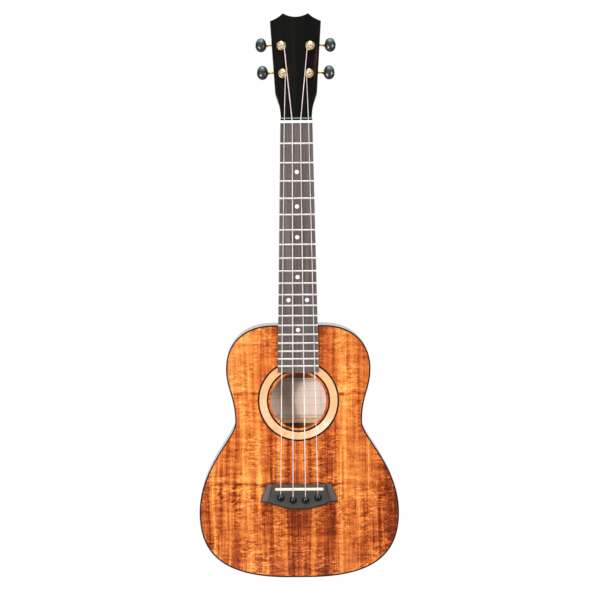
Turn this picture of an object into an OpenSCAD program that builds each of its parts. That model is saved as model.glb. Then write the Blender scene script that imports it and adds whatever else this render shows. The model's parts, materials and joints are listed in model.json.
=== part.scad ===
// Tenor ukulele: a soundbox, a bolted neck with a tilted head, open-gear tuners and a pin bridge.
// +Z runs up the neck, the soundboard faces -Y and X runs across the strings.
// The origin lies on the centre line, in the plane of the soundboard, where the fretboard meets the nut.

/* [Scale and strings] */
// Open string length from the nut to the saddle's nominal place
scale_length = 432; // [410:1:450]
// Distance that the saddle stands behind its nominal place
compensation = 1.8; // [0:0.1:4]
// Number of frets
fret_count = 19; // [18:1:20]
// Fret that lies over the joint of neck and body
joint_fret = 14; // [13:1:15]
// Distance between neighbouring strings at the nut
nut_string_step = 9.6; // [9:0.1:10.4]
// Distance between neighbouring strings at the saddle
saddle_string_step = 14.6; // [13:0.1:15.5]
// Diameters of the strings, bass side first
string_d = [0.75, 0.95, 0.85, 0.7]; // [0.6:0.05:1]
// Height of the strings over the fretboard at the nut
nut_action = 1.4; // [1.2:0.1:2]
// Turns of each string on its post
post_turns = 3; // [2:1:4]
// Gap between neighbouring turns on a post
turn_gap = 0.5; // [0.42:0.02:0.6]

/* [Soundbox outline] */
// Length of the soundbox
body_length = 300; // [290:1:315]
// Width of the lower bout
lower_bout_w = 237; // [225:1:250]
// Height of the lower bout's widest place over the tail
lower_bout_z = 77.5; // [70:0.5:85]
// Width of the waist
waist_w = 150.5; // [140:0.5:160]
// Height of the waist over the tail
waist_z = 185; // [178:0.5:192]
// Width of the upper bout
upper_bout_w = 171.5; // [162:0.5:182]
// Height of the upper bout's widest place over the tail
upper_bout_z = 248.5; // [243:0.5:255]
// Half width of the straight stretch at the tail
tail_flat = 12; // [6:1:20]
// Straight stretch of the shoulder on each side of the neck
shoulder_flat = 6; // [3:1:10]
// Reach of the outline's curve from the tail's straight stretch
tail_pull = 86; // [76:1:90]
// Reach of the curve below the lower bout's widest place
lower_pull_down = 43; // [36:1:50]
// Reach of the curve above the lower bout's widest place
lower_pull_up = 54; // [46:1:60]
// Reach of the curve below the waist
waist_pull_down = 17.5; // [12:0.5:24]
// Reach of the curve above the waist
waist_pull_up = 30.5; // [24:0.5:36]
// Reach of the curve below the upper bout's widest place
upper_pull_down = 24.5; // [18:0.5:30]
// Reach of the curve above the upper bout's widest place
upper_pull_up = 31; // [24:1:36]
// Reach of the outline's curve from the shoulder's straight stretch
shoulder_pull = 35; // [28:1:40]

/* [Soundbox build] */
// Depth of the soundbox at the tail, plates included
tail_depth = 72; // [66:0.5:80]
// Depth of the soundbox at the neck, plates included
shoulder_depth = 64; // [58:0.5:70]
// Thickness of the soundboard
top_t = 2; // [1.6:0.1:2.6]
// Thickness of the back plate
back_t = 2.2; // [1.6:0.1:3]
// Thickness of the bent sides
side_t = 1.9; // [1.7:0.1:2.6]
// Width of the edge binding on the plates
binding_w = 1.5; // [1:0.1:1.6]
// Height of the edge binding on the sides
binding_h = 5; // [4:0.1:6]
// Width of the linings
lining_w = 5; // [4:0.1:7]
// Height of the linings
lining_h = 9; // [7:0.5:12]
// Width of the head block
head_block_w = 54; // [48:1:60]
// Thickness of the head block along the neck
head_block_t = 26; // [20:1:32]
// Width of the tail block
tail_block_w = 50; // [40:1:60]
// Thickness of the tail block
tail_block_t = 12; // [9:1:16]
// Width of the graft strip at the tail
graft_w = 12; // [8:1:16]
// Width of the braces on the plates
brace_w = 5; // [4:0.5:7]
// Distance of the braces across the soundboard from the soundhole's edge
top_brace_reach = 13; // [10:0.5:16]
// Height of the braces across the soundboard
top_brace_h = 9; // [6:0.5:11]
// Height of the fan braces under the bridge
fan_brace_h = 5; // [4:0.5:7]
// Splay of the outer fan braces
fan_angle = 14; // [8:1:18]
// Height of the braces on the back
back_brace_h = 8; // [6:0.5:11]
// Distance of the label's lower edge below the soundhole's centre
label_drop = 25.5; // [20:0.5:32]
// Length of the label along the back
label_h = 48; // [36:1:50]
// Width of the label
label_w = 90; // [60:1:100]
// Thickness of the label
label_t = 0.3; // [0.2:0.05:0.5]

/* [Soundhole and rosette] */
// Radius of the soundhole
hole_r = 33; // [30:0.5:36]
// Gap between the soundhole and the end of the fretboard
hole_gap = 0.6; // [0.4:0.1:4]
// Width of the soundboard between the hole and the rosette
hole_margin = 3; // [2:0.1:5]
// Width of the rosette's dark lines
purfling_w = 1.3; // [0.8:0.1:2]
// Width of the rosette's pale ring
rosette_w = 9.4; // [6:0.1:12]
// Depth of the rosette in the soundboard
inlay_t = 1; // [0.6:0.1:1.2]

/* [Neck and fretboard] */
// Width of the neck at the nut
nut_w = 38; // [36:0.1:40]
// Width of the fretboard at its end
board_end_w = 48.8; // [46:0.1:52]
// Thickness of the fretboard
board_t = 4.5; // [4:0.1:6]
// Length of the fretboard past its last fret
board_overhang = 7.6; // [5:0.1:9]
// Depth of the neck at the nut, without the fretboard
neck_depth_nut = 14.5; // [13:0.1:17]
// Depth of the neck at the heel, without the fretboard
neck_depth_heel = 17; // [15:0.1:20]
// Length of the heel's sweep along the neck
heel_length = 52; // [44:1:60]
// Thickness of the heel cap
heel_cap_t = 2.5; // [1.5:0.1:4]
// Thickness of the nut along the strings
nut_t = 3; // [2.5:0.1:6]
// Height of the nut over the strings' seats
nut_lip = 0.5; // [0.3:0.05:1]
// Width of a fret's crown
fret_w = 2; // [1.6:0.1:2.6]
// Height of a fret's crown
fret_h = 0.95; // [0.7:0.05:1]
// Depth of a fret's tang in the board
tang_h = 1.8; // [1:0.1:2.5]
// Thickness of a fret's tang
tang_t = 0.6; // [0.4:0.05:0.8]
// Radius of the position dots
dot_r = 2.5; // [1.5:0.1:3]
// Distance between the two dots of a pair
dot_pair_step = 22; // [14:0.5:26]
// Radius of the dots on the board's edge
side_dot_r = 1; // [0.6:0.1:1.4]
// Depth of the dots in the board
dot_t = 1; // [0.6:0.1:1.5]
// Radius of the neck bolt's thread
bolt_r = 3; // [2.5:0.1:4]
// Radius of the threaded insert in the heel
insert_r = 4.5; // [4.4:0.1:6]
// Depth of the threaded insert in the heel
insert_length = 15; // [10:1:20]
// Depth of the bolt's axis behind the soundboard
bolt_depth = 30; // [24:1:36]
// Radius of the neck bolt's head
bolt_head_r = 5.1; // [4.6:0.1:6]
// Height of the neck bolt's head
bolt_head_h = 4.8; // [4:0.1:6]
// Radius of the neck bolt's hexagon socket, to its corners
bolt_socket_r = 2.85; // [2:0.05:3.2]
// Depth of the neck bolt's hexagon socket
bolt_socket_h = 2.9; // [2:0.1:3.5]
// Radius of the bolt's washer
washer_r = 8; // [6.5:0.1:10]
// Thickness of the bolt's washer
washer_t = 1.5; // [1:0.1:2.5]

/* [Head] */
// Tilt of the head behind the neck
head_angle = 14; // [10:0.5:17]
// Thickness of the head without its veneer
head_t = 13; // [12:0.1:15]
// Thickness of the head's veneer
veneer_t = 2; // [1:0.1:2.4]
// Width of the head at the nut
head_base_w = 36.6; // [35:0.1:38]
// Width of the head at its lower corners
head_ear_w = 49.4; // [47:0.1:53]
// Height of the lower corners over the nut
head_ear_z = 33.8; // [31:0.1:36]
// Width of the head at its upper corners
head_top_w = 60.6; // [58:0.1:64]
// Height of the upper corners over the nut
head_top_z = 121.6; // [118:0.1:125]
// Distance between the two tips of the crest
crest_w = 30; // [26:0.1:36]
// Height of the crest's tips over the nut
crest_z = 131.1; // [128:0.1:136]
// Dip of the crest between its tips
crest_dip = 4.4; // [3:0.1:6]
// Dip of the crest between a tip and an upper corner
crest_side_dip = 1.1; // [0.5:0.1:2]
// Height of the scarf joint over the nut
scarf_z = 25; // [22:0.5:28]

/* [Tuners] */
// Distance of the upper posts from the centre line
upper_post_x = 17.1; // [16:0.1:18.5]
// Distance of the lower posts from the centre line
lower_post_x = 15.5; // [15:0.1:17]
// Height of the upper posts over the nut
upper_post_z = 90.9; // [89:0.1:95]
// Height of the lower posts over the nut
lower_post_z = 56.9; // [54:0.1:60]
// Radius of the posts
post_r = 3; // [2.8:0.05:3.3]
// Radius of the posts where the string winds
spool_r = 2.6; // [2.3:0.05:2.8]
// Room on a post past its winding
spool_room = 1.4; // [1.3:0.1:2.4]
// Radius of the string's hole through a post
string_hole_r = 0.6; // [0.5:0.05:0.6]
// Height of a post's rounded tip
post_tip_h = 1.3; // [1:0.1:3]
// Width of the bushings' hexagon across its flats
hex_w = 9.8; // [9.4:0.1:11]
// Height of the bushings' hexagon
hex_h = 2; // [1.4:0.1:2.2]
// Radius of the bushings' washers
bushing_washer_r = 5.5; // [5.2:0.1:6]
// Thickness of the bushings' washers
bushing_washer_t = 0.5; // [0.4:0.1:0.7]
// Radius of the bushings' barrels
barrel_r = 4.2; // [4:0.05:4.6]
// Length of the bushings' barrels under the washer
barrel_length = 9; // [6:0.1:11]
// Teeth of a tuner's gear
gear_teeth = 14; // [12:1:16]
// Module of the gear and worm
gear_module = 0.56; // [0.52:0.01:0.6]
// Width of the gear along the post
gear_w = 2; // [1.6:0.1:2.2]
// Radius of the post's spigot in the gear
spigot_r = 1.85; // [1.6:0.05:2.1]
// Radius of the screw that holds the gear
gear_screw_r = 0.95; // [0.7:0.05:1.1]
// Length of the screw that holds the gear
gear_screw_length = 5; // [4:0.5:7]
// Radius of the head of the gear's screw
gear_screw_head_r = 2.8; // [2.4:0.1:3]
// Height of the head of the gear's screw
gear_screw_h = 1; // [0.6:0.1:1.4]
// Pitch radius of the worm
worm_r = 2.08; // [2:0.02:2.3]
// Turns of the worm's thread
worm_turns = 3.5; // [2.5:0.5:3.5]
// Radius of the worm shaft
shaft_r = 1.25; // [1.1:0.05:1.3]
// Thickness of the tuner plates
plate_t = 1; // [0.8:0.1:1.5]
// Thickness of the plates' ears
ear_t = 1; // [0.8:0.1:1.5]
// Distance of the ears' inner faces from the post
ear_x = 5; // [4.8:0.1:5.6]
// Radius of the plate screws' shanks
screw_r = 0.9; // [0.7:0.05:1.1]
// Radius of the plate screws' heads
screw_head_r = 1.8; // [1.5:0.05:2.2]
// Height of the plate screws' heads
screw_head_h = 0.9; // [0.6:0.1:1.2]
// Rim of the plates round their screws' heads
tab_rim = 1.2; // [0.8:0.1:1.6]
// Length of the plate screws in the wood
screw_length = 8; // [6:0.5:9]
// Distance of the knobs' inner ends from the posts
knob_x = 17.5; // [16.5:0.1:19]
// Length of the knobs along their shafts
knob_length = 13.3; // [12:0.1:15]
// Height of the knobs along the head
knob_h = 16.7; // [14:0.1:18]
// Thickness of the knobs
knob_t = 7.6; // [6:0.1:9]
// Depth of the shaft in the knob
knob_bore = 9; // [6:0.1:10]
// Radius of the collar at a knob's inner end
collar_r = 2.3; // [1.8:0.1:2.8]
// Length of the collar at a knob's inner end
collar_length = 1.6; // [1:0.1:2.5]

/* [Bridge] */
// Height of the bridge
bridge_h = 8; // [7:0.1:9]
// Height of the bridge's end wings
wing_h = 3.6; // [2.5:0.1:5]
// Width of the bridge at its upper edge
bridge_top_w = 77; // [74:0.5:82]
// Width of the bridge at the wings' lower edge
bridge_low_w = 92.8; // [88:0.2:96]
// Width of the thick block at its upper edge
block_top_w = 61.6; // [60:0.2:66]
// Width of the thick block at the wings' lower edge
block_low_w = 73; // [70:0.2:78]
// Distance of the bridge's upper edge from the saddle
bridge_rise = 5.3; // [4:0.1:7]
// Distance of the wings' lower edge from the saddle
bridge_drop = 16; // [15:0.1:18]
// Drop of the rounded belly below the wings
belly_drop = 8.2; // [6:0.1:10]
// Length of the saddle
saddle_w = 58; // [54:0.5:59]
// Thickness of the saddle
saddle_t = 3.4; // [2.8:0.1:4]
// Height of the saddle over the bridge
saddle_rise = 2.4; // [1.8:0.1:3.4]
// Depth of the saddle in the bridge
saddle_seat = 5; // [3:0.1:6]
// Distance of the outer pins from the saddle
outer_pin_drop = 10.3; // [9.5:0.1:11.5]
// Distance of the inner pins from the saddle
inner_pin_drop = 13.2; // [11:0.1:14]
// Radius of the pins' shanks
pin_r = 2.5; // [2.3:0.05:2.7]
// Radius of the pins' heads
pin_head_r = 3.6; // [3.3:0.05:3.9]
// Height of the pins' rounded heads
pin_head_h = 3; // [2:0.1:4]
// Length of the pins below the bridge
pin_length = 17; // [15:0.5:20]
// Radius of the pins' lower ends
pin_end_r = 2; // [1.8:0.05:2.2]
// Width of the plate under the bridge
bridge_plate_w = 66; // [60:1:80]
// Thickness of the plate under the bridge
bridge_plate_t = 2; // [1.5:0.1:3]

/* [Hidden] */
$fn = 48;

// Clearances
fit_gap = 0.03;
running_gap = 0.05;
pin_gap = 0.1;
winding_gap = 0.12;
string_rest_gap = 0.05;
brace_gap = 0.5;
block_gap = 2;
mesh_gap = 0.3;
thread_gap = 0.05;
past = 1;

// Places along the neck and body
frets_end = scale_length * (1 - pow(2, -fret_count / 12));
board_length = frets_end + board_overhang;
joint_z = -scale_length * (1 - pow(2, -joint_fret / 12));
tail_z = joint_z - body_length;
hole_z = -board_length - hole_gap - hole_r;
saddle_z = -scale_length - compensation;
wide = lower_bout_w;

// Places of the inner bars and the label
top_brace_z = [hole_z + hole_r + top_brace_reach, hole_z - hole_r - top_brace_reach];
label_z = hole_z - label_drop;
head_block_z = joint_z - side_t - head_block_t;
tail_block_z = tail_z + side_t + tail_block_t;
label_brace_z = label_z - brace_gap - brace_w / 2;
back_brace_z = [head_block_z - block_gap - brace_w / 2, label_brace_z, (label_brace_z + tail_block_z) / 2];

// String levels in front of the soundboard
nut_seat_y = board_t + nut_action;
saddle_top_y = bridge_h + saddle_rise;
string_lift = 0.3;
collar_room = 0.4;
pin_collar_h = max(string_d) + string_lift + collar_room;

// The soundbox outline is one run of four curves on the treble side, mirrored on the bass side
leg_steps = 12;
flat_half = board_half(joint_z) + shoulder_flat;
outline_legs = [
    [[tail_flat, 0], [tail_flat + tail_pull, 0],
        [lower_bout_w / 2, lower_bout_z - lower_pull_down], [lower_bout_w / 2, lower_bout_z]],
    [[lower_bout_w / 2, lower_bout_z], [lower_bout_w / 2, lower_bout_z + lower_pull_up],
        [waist_w / 2, waist_z - waist_pull_down], [waist_w / 2, waist_z]],
    [[waist_w / 2, waist_z], [waist_w / 2, waist_z + waist_pull_up],
        [upper_bout_w / 2, upper_bout_z - upper_pull_down], [upper_bout_w / 2, upper_bout_z]],
    [[upper_bout_w / 2, upper_bout_z], [upper_bout_w / 2, upper_bout_z + upper_pull_up],
        [flat_half + shoulder_pull, body_length], [flat_half, body_length]]
];

// Point on a cubic curve
function curve(p, t) =
    pow(1 - t, 3) * p[0] + 3 * pow(1 - t, 2) * t * p[1] + 3 * (1 - t) * t * t * p[2] + pow(t, 3) * p[3];
// Direction of a cubic curve
function curve_dir(p, t) =
    unit(pow(1 - t, 2) * (p[1] - p[0]) + 2 * (1 - t) * t * (p[2] - p[1]) + t * t * (p[3] - p[2]));
function unit(v) = v / norm(v);
function mix(a, b, t) = a + (b - a) * t;
function smooth(t) = t * t * (3 - 2 * t);

// Points of one outline curve, moved inwards by inset
function leg(p, inset) = [
    for (i = [0:leg_steps - 1])
        let (t = i / leg_steps, d = curve_dir(p, t))
        curve(p, t) + inset * [-d.y, d.x] + [0, tail_z]
];
// Closed outline of the soundbox, moved inwards by inset
function outline(inset) =
    let (right = concat([for (p = outline_legs) each leg(p, inset)], [[flat_half, joint_z - inset]]))
    concat(right, [for (i = [len(right) - 1:-1:0]) [-right[i].x, right[i].y]]);

// Half width of fretboard and neck at a height
function board_half(z) = mix(nut_w, board_end_w, max(0, -z) / board_length) / 2;
// Height of a fret under the nut
function fret_z(n) = -scale_length * (1 - pow(2, -n / 12));
// Outer face of the back plate at a height
function back_y(z) = mix(shoulder_depth, tail_depth, (joint_z - z) / body_length);
// Place of string k across the nut or the saddle, from its distance to the next string
function string_x(k, step) = (k - 2.5) * step;
// Drop of string k's pin below the saddle
function pin_drop(k) = k == 1 || k == 4 ? outer_pin_drop : inner_pin_drop;
function pin_z(k) = saddle_z - pin_drop(k);
// The pins stand on the strings' lines, carried on past the saddle
function pin_x(k) =
    string_x(k, saddle_string_step)
    + string_x(k, saddle_string_step - nut_string_step) * pin_drop(k) / -saddle_z;
// The string runs down beside its pin, on the saddle's side
slot_room = 0.15;
string_slot = pin_r + pin_gap + max(string_d) / 2 + slot_room;

// Points of the head's frame in the part's frame
function from_head(p, angle = head_angle) = [
    p.x,
    p.y * cos(angle) + p.z * sin(angle),
    nut_t - p.y * sin(angle) + p.z * cos(angle)
];
// Points of the part's frame in the head's frame
function to_head(p) = [
    p.x,
    p.y * cos(head_angle) - (p.z - nut_t) * sin(head_angle),
    p.y * sin(head_angle) + (p.z - nut_t) * cos(head_angle)
];

// Tuner k belongs to string k: the outer strings go to the lower posts
function tuner_side(k) = k < 3 ? -1 : 1;
function tuner_x(k) = tuner_side(k) * (k == 1 || k == 4 ? lower_post_x : upper_post_x);
function tuner_z(k) = k == 1 || k == 4 ? lower_post_z : upper_post_z;

// Gear and worm
gear_pitch_r = gear_module * gear_teeth / 2;
thread_pitch = gear_module * PI;
addendum_share = 0.77;
dedendum_share = 1.07;
tooth_share = 0.17;
thread_share = 0.185;
pressure_angle = 20;
addendum = gear_module * addendum_share;
dedendum = gear_module * dedendum_share;
flank = tan(pressure_angle);
gear_half_tooth = thread_pitch * tooth_share;
worm_half_thread = thread_pitch * thread_share;
worm_z = gear_pitch_r + worm_r;
worm_y = plate_t + worm_r + addendum + mesh_gap;
gear_y = worm_y - gear_w / 2;
worm_body_half = ear_x - mesh_gap;
ear_half = shaft_r * 2;
ear_top = worm_y + ear_half;
plate_half = ear_x + ear_t + mesh_gap;
plate_low = gear_pitch_r + addendum + mesh_gap;
plate_high = worm_z + ear_half + mesh_gap;
screw_tab_r = screw_head_r + tab_rim;
screw_z = [-plate_low - screw_head_r, plate_high + screw_head_r];

// Post levels in front of the head's back face
bushing_top = head_t + veneer_t + bushing_washer_t + hex_h;
spool_start = bushing_top + pin_gap;
winding_start = spool_start + mesh_gap;
spool_end = winding_start + post_turns * (max(string_d) + turn_gap) + max(string_d) + spool_room;

// A flat piece between two depths, drawn in the plane of the soundboard
module slab(y0, y1) {
    translate([0, y1, 0])
        rotate([90, 0, 0])
            linear_extrude(y1 - y0)
                children();
}
// A bar across the part, drawn in the plane of depth and height
module across(half) {
    translate([-half, 0, 0])
        rotate([90, 0, 90])
            linear_extrude(2 * half)
                children();
}
module plan(inset) {
    polygon(outline(inset));
}
// A band of the outline between two insets
module plan_band(outer, inner) {
    difference() {
        plan(outer);
        plan(inner);
    }
}
// The space between a depth in front and a distance from the back plate's outer face
module depth_from(front, back) {
    high = joint_z + past;
    low = tail_z - past;
    across(wide)
        polygon([[front, high], [back_y(high) + back, high], [back_y(low) + back, low], [front, low]]);
}
// The space between two distances from the back plate's outer face
module depth_at_back(from, to) {
    high = joint_z + past;
    low = tail_z - past;
    across(wide)
        polygon([
            [back_y(high) + from, high], [back_y(high) + to, high],
            [back_y(low) + to, low], [back_y(low) + from, low]
        ]);
}
// A prism of a plan, cut between the soundboard and the back
module box_wall(front, back) {
    intersection() {
        slab(0, tail_depth + past)
            children();
        depth_from(front, back);
    }
}
module back_sheet(from, to) {
    intersection() {
        slab(shoulder_depth / 2, tail_depth + past)
            children();
        depth_at_back(from, to);
    }
}
// The ledges that the bindings lie in
module rabbets() {
    slab(-past, binding_h)
        plan_band(-past, binding_w);
    back_sheet(-binding_h, past)
        plan_band(-past, binding_w);
}
module along_y(x, z, y0, y1, r) {
    translate([x, y1, z])
        rotate([90, 0, 0])
            cylinder(h = y1 - y0, r = r);
}
module along_z(x, y, z0, z1, r) {
    translate([x, y, z0])
        cylinder(h = z1 - z0, r = r);
}
module along_x(x0, x1, y, z, r) {
    translate([x0, y, z])
        rotate([0, 90, 0])
            cylinder(h = x1 - x0, r = r);
}
// A turned piece whose heights run towards the front
module turned(profile) {
    rotate([90, 0, 0])
        rotate_extrude()
            polygon(profile);
}
function dome(r, h, start) = [for (a = [0:15:90]) [r * cos(a), start + h * sin(a)]];

module in_head() {
    translate([0, 0, nut_t])
        rotate([-head_angle, 0, 0])
            children();
}
// A tuner's frame: x outwards from the post, y out of the head's back, z towards the crest
module at_tuner(k) {
    in_head()
        translate([tuner_x(k), head_t, tuner_z(k)])
            mirror([tuner_side(k) < 0 ? 1 : 0, 0, 0])
                children();
}
module at_tuners() {
    for (k = [1:4])
        at_tuner(k)
            children();
}
module pin_holes(y0, y1) {
    for (k = [1:4]) {
        along_y(pin_x(k), pin_z(k), y0, y1, pin_r + pin_gap);
        slot_w = max(string_d) + 4 * winding_gap;
        slab(y0, y1)
            translate([pin_x(k) - slot_w / 2, pin_z(k)])
                square([slot_w, string_slot + slot_w / 2]);
    }
}

// Soundbox
ring_1 = hole_r + hole_margin;
ring_2 = ring_1 + purfling_w;
ring_3 = ring_2 + rosette_w;
ring_4 = ring_3 + purfling_w;

module ring(r0, r1, y0, y1) {
    difference() {
        along_y(0, hole_z, y0, y1, r1);
        along_y(0, hole_z, y0 - past, y1 + past, r0);
    }
}
module soundboard() {
    color([0.85, 0.5, 0.24])
        difference() {
            slab(0, top_t)
                plan(binding_w);
            along_y(0, hole_z, -past, top_t + past, hole_r);
            ring(ring_1, ring_4, -past, inlay_t);
            pin_holes(-past, top_t + past);
        }
}
module rosette_ring() {
    color([0.96, 0.82, 0.62])
        ring(ring_2 + fit_gap, ring_3 - fit_gap, 0, inlay_t);
}
module rosette_purfling() {
    color([0.1, 0.08, 0.07]) {
        ring(ring_1 + fit_gap, ring_2, 0, inlay_t);
        ring(ring_3, ring_4 - fit_gap, 0, inlay_t);
    }
}
module back_plate() {
    color([0.72, 0.4, 0.2])
        back_sheet(-back_t, 0)
            plan(binding_w);
}
module graft_plan(margin) {
    translate([-graft_w / 2 - margin, tail_z - past])
        square([graft_w + 2 * margin, side_t + 2 * past]);
}
module side(half) {
    color([0.75, 0.42, 0.2])
        difference() {
            box_wall(top_t, -back_t)
                difference() {
                    intersection() {
                        plan_band(0, side_t);
                        translate([half < 0 ? -wide : 0, tail_z - past])
                            square([wide, body_length + 2 * past]);
                    }
                    graft_plan(0);
                }
            rabbets();
            along_z(0, bolt_depth, joint_z - side_t - past, joint_z + past, bolt_r + running_gap);
        }
}
module side_bass() {
    side(-1);
}
module side_treble() {
    side(1);
}
module tail_graft() {
    color([0.14, 0.1, 0.08])
        difference() {
            box_wall(top_t, -back_t)
                intersection() {
                    plan_band(0, side_t);
                    graft_plan(-fit_gap);
                }
            rabbets();
        }
}
module binding_front() {
    color([0.09, 0.07, 0.06])
        slab(0, binding_h)
            plan_band(0, binding_w);
}
module binding_back() {
    color([0.09, 0.07, 0.06])
        back_sheet(-binding_h, 0)
            plan_band(0, binding_w);
}
module head_block_plan(margin) {
    translate([-head_block_w / 2 - margin, head_block_z - margin])
        square([head_block_w + 2 * margin, head_block_t + side_t + margin]);
}
module tail_block_plan(margin) {
    translate([-tail_block_w / 2 - margin, tail_z])
        square([tail_block_w + 2 * margin, side_t + tail_block_t + margin]);
}
module head_block() {
    color([0.6, 0.38, 0.24])
        difference() {
            box_wall(top_t, -back_t)
                intersection() {
                    plan(side_t);
                    head_block_plan(0);
                }
            along_z(0, bolt_depth, head_block_z - past, joint_z, bolt_r + running_gap);
        }
}
module tail_block() {
    color([0.6, 0.38, 0.24])
        box_wall(top_t, -back_t)
            intersection() {
                plan(side_t);
                tail_block_plan(0);
            }
}
module lining_plan() {
    difference() {
        plan_band(side_t, side_t + lining_w);
        head_block_plan(fit_gap);
        tail_block_plan(fit_gap);
    }
}
module linings() {
    color([0.7, 0.5, 0.32]) {
        slab(top_t, top_t + lining_h)
            lining_plan();
        back_sheet(-back_t - lining_h, -back_t)
            lining_plan();
    }
}
// A bar across the soundbox between its linings
module bar_plan(z, w) {
    intersection() {
        plan(side_t + lining_w + brace_gap);
        translate([-wide, z - w / 2])
            square([2 * wide, w]);
    }
}
module top_braces() {
    color([0.9, 0.78, 0.56])
        for (z = top_brace_z)
            slab(top_t, top_t + top_brace_h)
                bar_plan(z, brace_w);
}
bridge_plate_top = saddle_z + bridge_rise;
bridge_plate_low = saddle_z - bridge_drop - belly_drop;
module fan_braces() {
    start = bridge_plate_low - brace_gap;
    color([0.9, 0.78, 0.56])
        for (i = [-1:1])
            slab(top_t, top_t + fan_brace_h)
                intersection() {
                    plan(side_t + lining_w + tail_block_t);
                    translate([-wide, tail_z])
                        square([2 * wide, start - tail_z]);
                    translate([i * bridge_plate_w / 3, start])
                        rotate(i * fan_angle)
                            translate([-brace_w / 2, -body_length])
                                square([brace_w, body_length + brace_w]);
                }
}
module back_braces() {
    color([0.9, 0.78, 0.56])
        for (z = back_brace_z)
            back_sheet(-back_t - back_brace_h, -back_t)
                bar_plan(z, brace_w);
}
module bridge_plate() {
    color([0.62, 0.42, 0.27])
        difference() {
            slab(top_t, top_t + bridge_plate_t)
                translate([-bridge_plate_w / 2, bridge_plate_low])
                    square([bridge_plate_w, bridge_plate_top - bridge_plate_low]);
            pin_holes(top_t - past, top_t + bridge_plate_t + past);
        }
}
module label() {
    color([0.93, 0.88, 0.78])
        back_sheet(-back_t - label_t, -back_t)
            translate([-label_w / 2, label_z])
                square([label_w, label_h]);
}

// Neck: sections from the heel's foot to the scarf joint, each a rounded D with its flat to the front
profile_steps = 18;
heel_steps = 10;
scarf_steps = 6;
profile_power = 2.3;
heel_overrun = 8;
heel_sweep = 2.5;
heel_back = back_y(joint_z);

function bow(v) = sign(v) * pow(abs(v), 2 / profile_power);
// One section as points across and deep; square runs from 0, a rounded D, to 1, a rectangle
function neck_profile(half, depth, square) = [
    for (i = [0:profile_steps])
        let (
            t = 180 * i / profile_steps,
            third = profile_steps / 3,
            round_p = [half * bow(cos(t)), depth * bow(sin(t))],
            box_p = i <= third ? [half, depth * i / third]
                : i <= 2 * third ? [mix(half, -half, (i - third) / third), depth]
                : [-half, depth * (profile_steps - i) / third]
        )
        mix(round_p, box_p, square)
];
function shaft_depth(z) = mix(neck_depth_nut, neck_depth_heel, -z / (-joint_z - heel_length));
head_curve_r =
    (pow((head_ear_w - head_base_w) / 2, 2) + pow(head_ear_z, 2)) / (head_ear_w - head_base_w);
// Half width of the head between the nut and its lower corners: an arc that leaves the neck's line
function head_half(z) = head_base_w / 2 + head_curve_r - sqrt(pow(head_curve_r, 2) - z * z);

function heel_section(s) =
    let (
        z = joint_z + heel_length * s,
        shaft = shaft_depth(joint_z + heel_length),
        depth = mix(shaft, heel_back + heel_overrun, pow(1 - s * s, heel_sweep))
    )
    [for (p = neck_profile(board_half(z), depth, 0)) [p.x, p.y, z]];
function scarf_section(s) =
    let (
        z = scarf_z * s,
        depth = mix(neck_depth_nut, head_t, smooth(s)),
        half = s == 0 ? nut_w / 2 : head_half(z)
    )
    [for (p = neck_profile(half, depth, smooth(s)))
        from_head([p.x, p.y, z], s == 0 ? head_angle / 2 : head_angle)];
neck_sections = concat(
    [for (i = [0:heel_steps]) heel_section(i / heel_steps)],
    [[for (p = neck_profile(nut_w / 2, neck_depth_nut, 0)) [p.x, p.y, 0]]],
    [for (i = [0:scarf_steps]) scarf_section(i / scarf_steps)]
);

// A closed solid through a list of rings with equal counts of points
module loft(rings) {
    n = len(rings[0]);
    last = len(rings) - 1;
    points = [for (r = rings) each r];
    walls = [
        for (i = [0:last - 1], j = [0:n - 1])
            let (a = i * n + j, b = i * n + (j + 1) % n)
            each [[a, a + n, b], [b, a + n, b + n]]
    ];
    caps = [
        for (j = [1:n - 2])
            each [[0, j, j + 1], [last * n, last * n + j + 1, last * n + j]]
    ];
    polyhedron(points, concat(walls, caps), convexity = 6);
}
module neck_blank() {
    loft(neck_sections);
}
module neck() {
    color([0.45, 0.24, 0.14])
        difference() {
            neck_blank();
            slab(heel_back - heel_cap_t, heel_back + 2 * heel_overrun)
                translate([-nut_w, joint_z - past])
                    square([2 * nut_w, heel_length]);
            along_z(0, bolt_depth, joint_z - past, joint_z + insert_length, insert_r + fit_gap);
        }
}
module heel_cap() {
    color([0.1, 0.08, 0.07])
        intersection() {
            neck_blank();
            slab(heel_back - heel_cap_t, heel_back)
                translate([-nut_w, joint_z])
                    square([2 * nut_w, heel_length]);
        }
}
bolt_end = joint_z + insert_length - past;
bolt_head_z = head_block_z - washer_t;
module neck_bolt() {
    color([0.6, 0.6, 0.62])
        difference() {
            union() {
                along_z(0, bolt_depth, bolt_head_z, bolt_end, bolt_r);
                along_z(0, bolt_depth, bolt_head_z - bolt_head_h, bolt_head_z, bolt_head_r);
            }
            translate([0, bolt_depth, bolt_head_z - bolt_head_h - past])
                cylinder(h = bolt_socket_h + past, r = bolt_socket_r, $fn = 6);
        }
}
module bolt_washer() {
    color([0.66, 0.66, 0.68])
        difference() {
            along_z(0, bolt_depth, bolt_head_z, bolt_head_z + washer_t, washer_r);
            along_z(0, bolt_depth, bolt_head_z - past, bolt_head_z + washer_t + past, bolt_r + running_gap);
        }
}
module heel_insert() {
    color([0.78, 0.62, 0.3])
        difference() {
            along_z(0, bolt_depth, joint_z, joint_z + insert_length, insert_r);
            along_z(0, bolt_depth, joint_z - past, joint_z + insert_length + past, bolt_r + thread_gap);
        }
}

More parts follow.
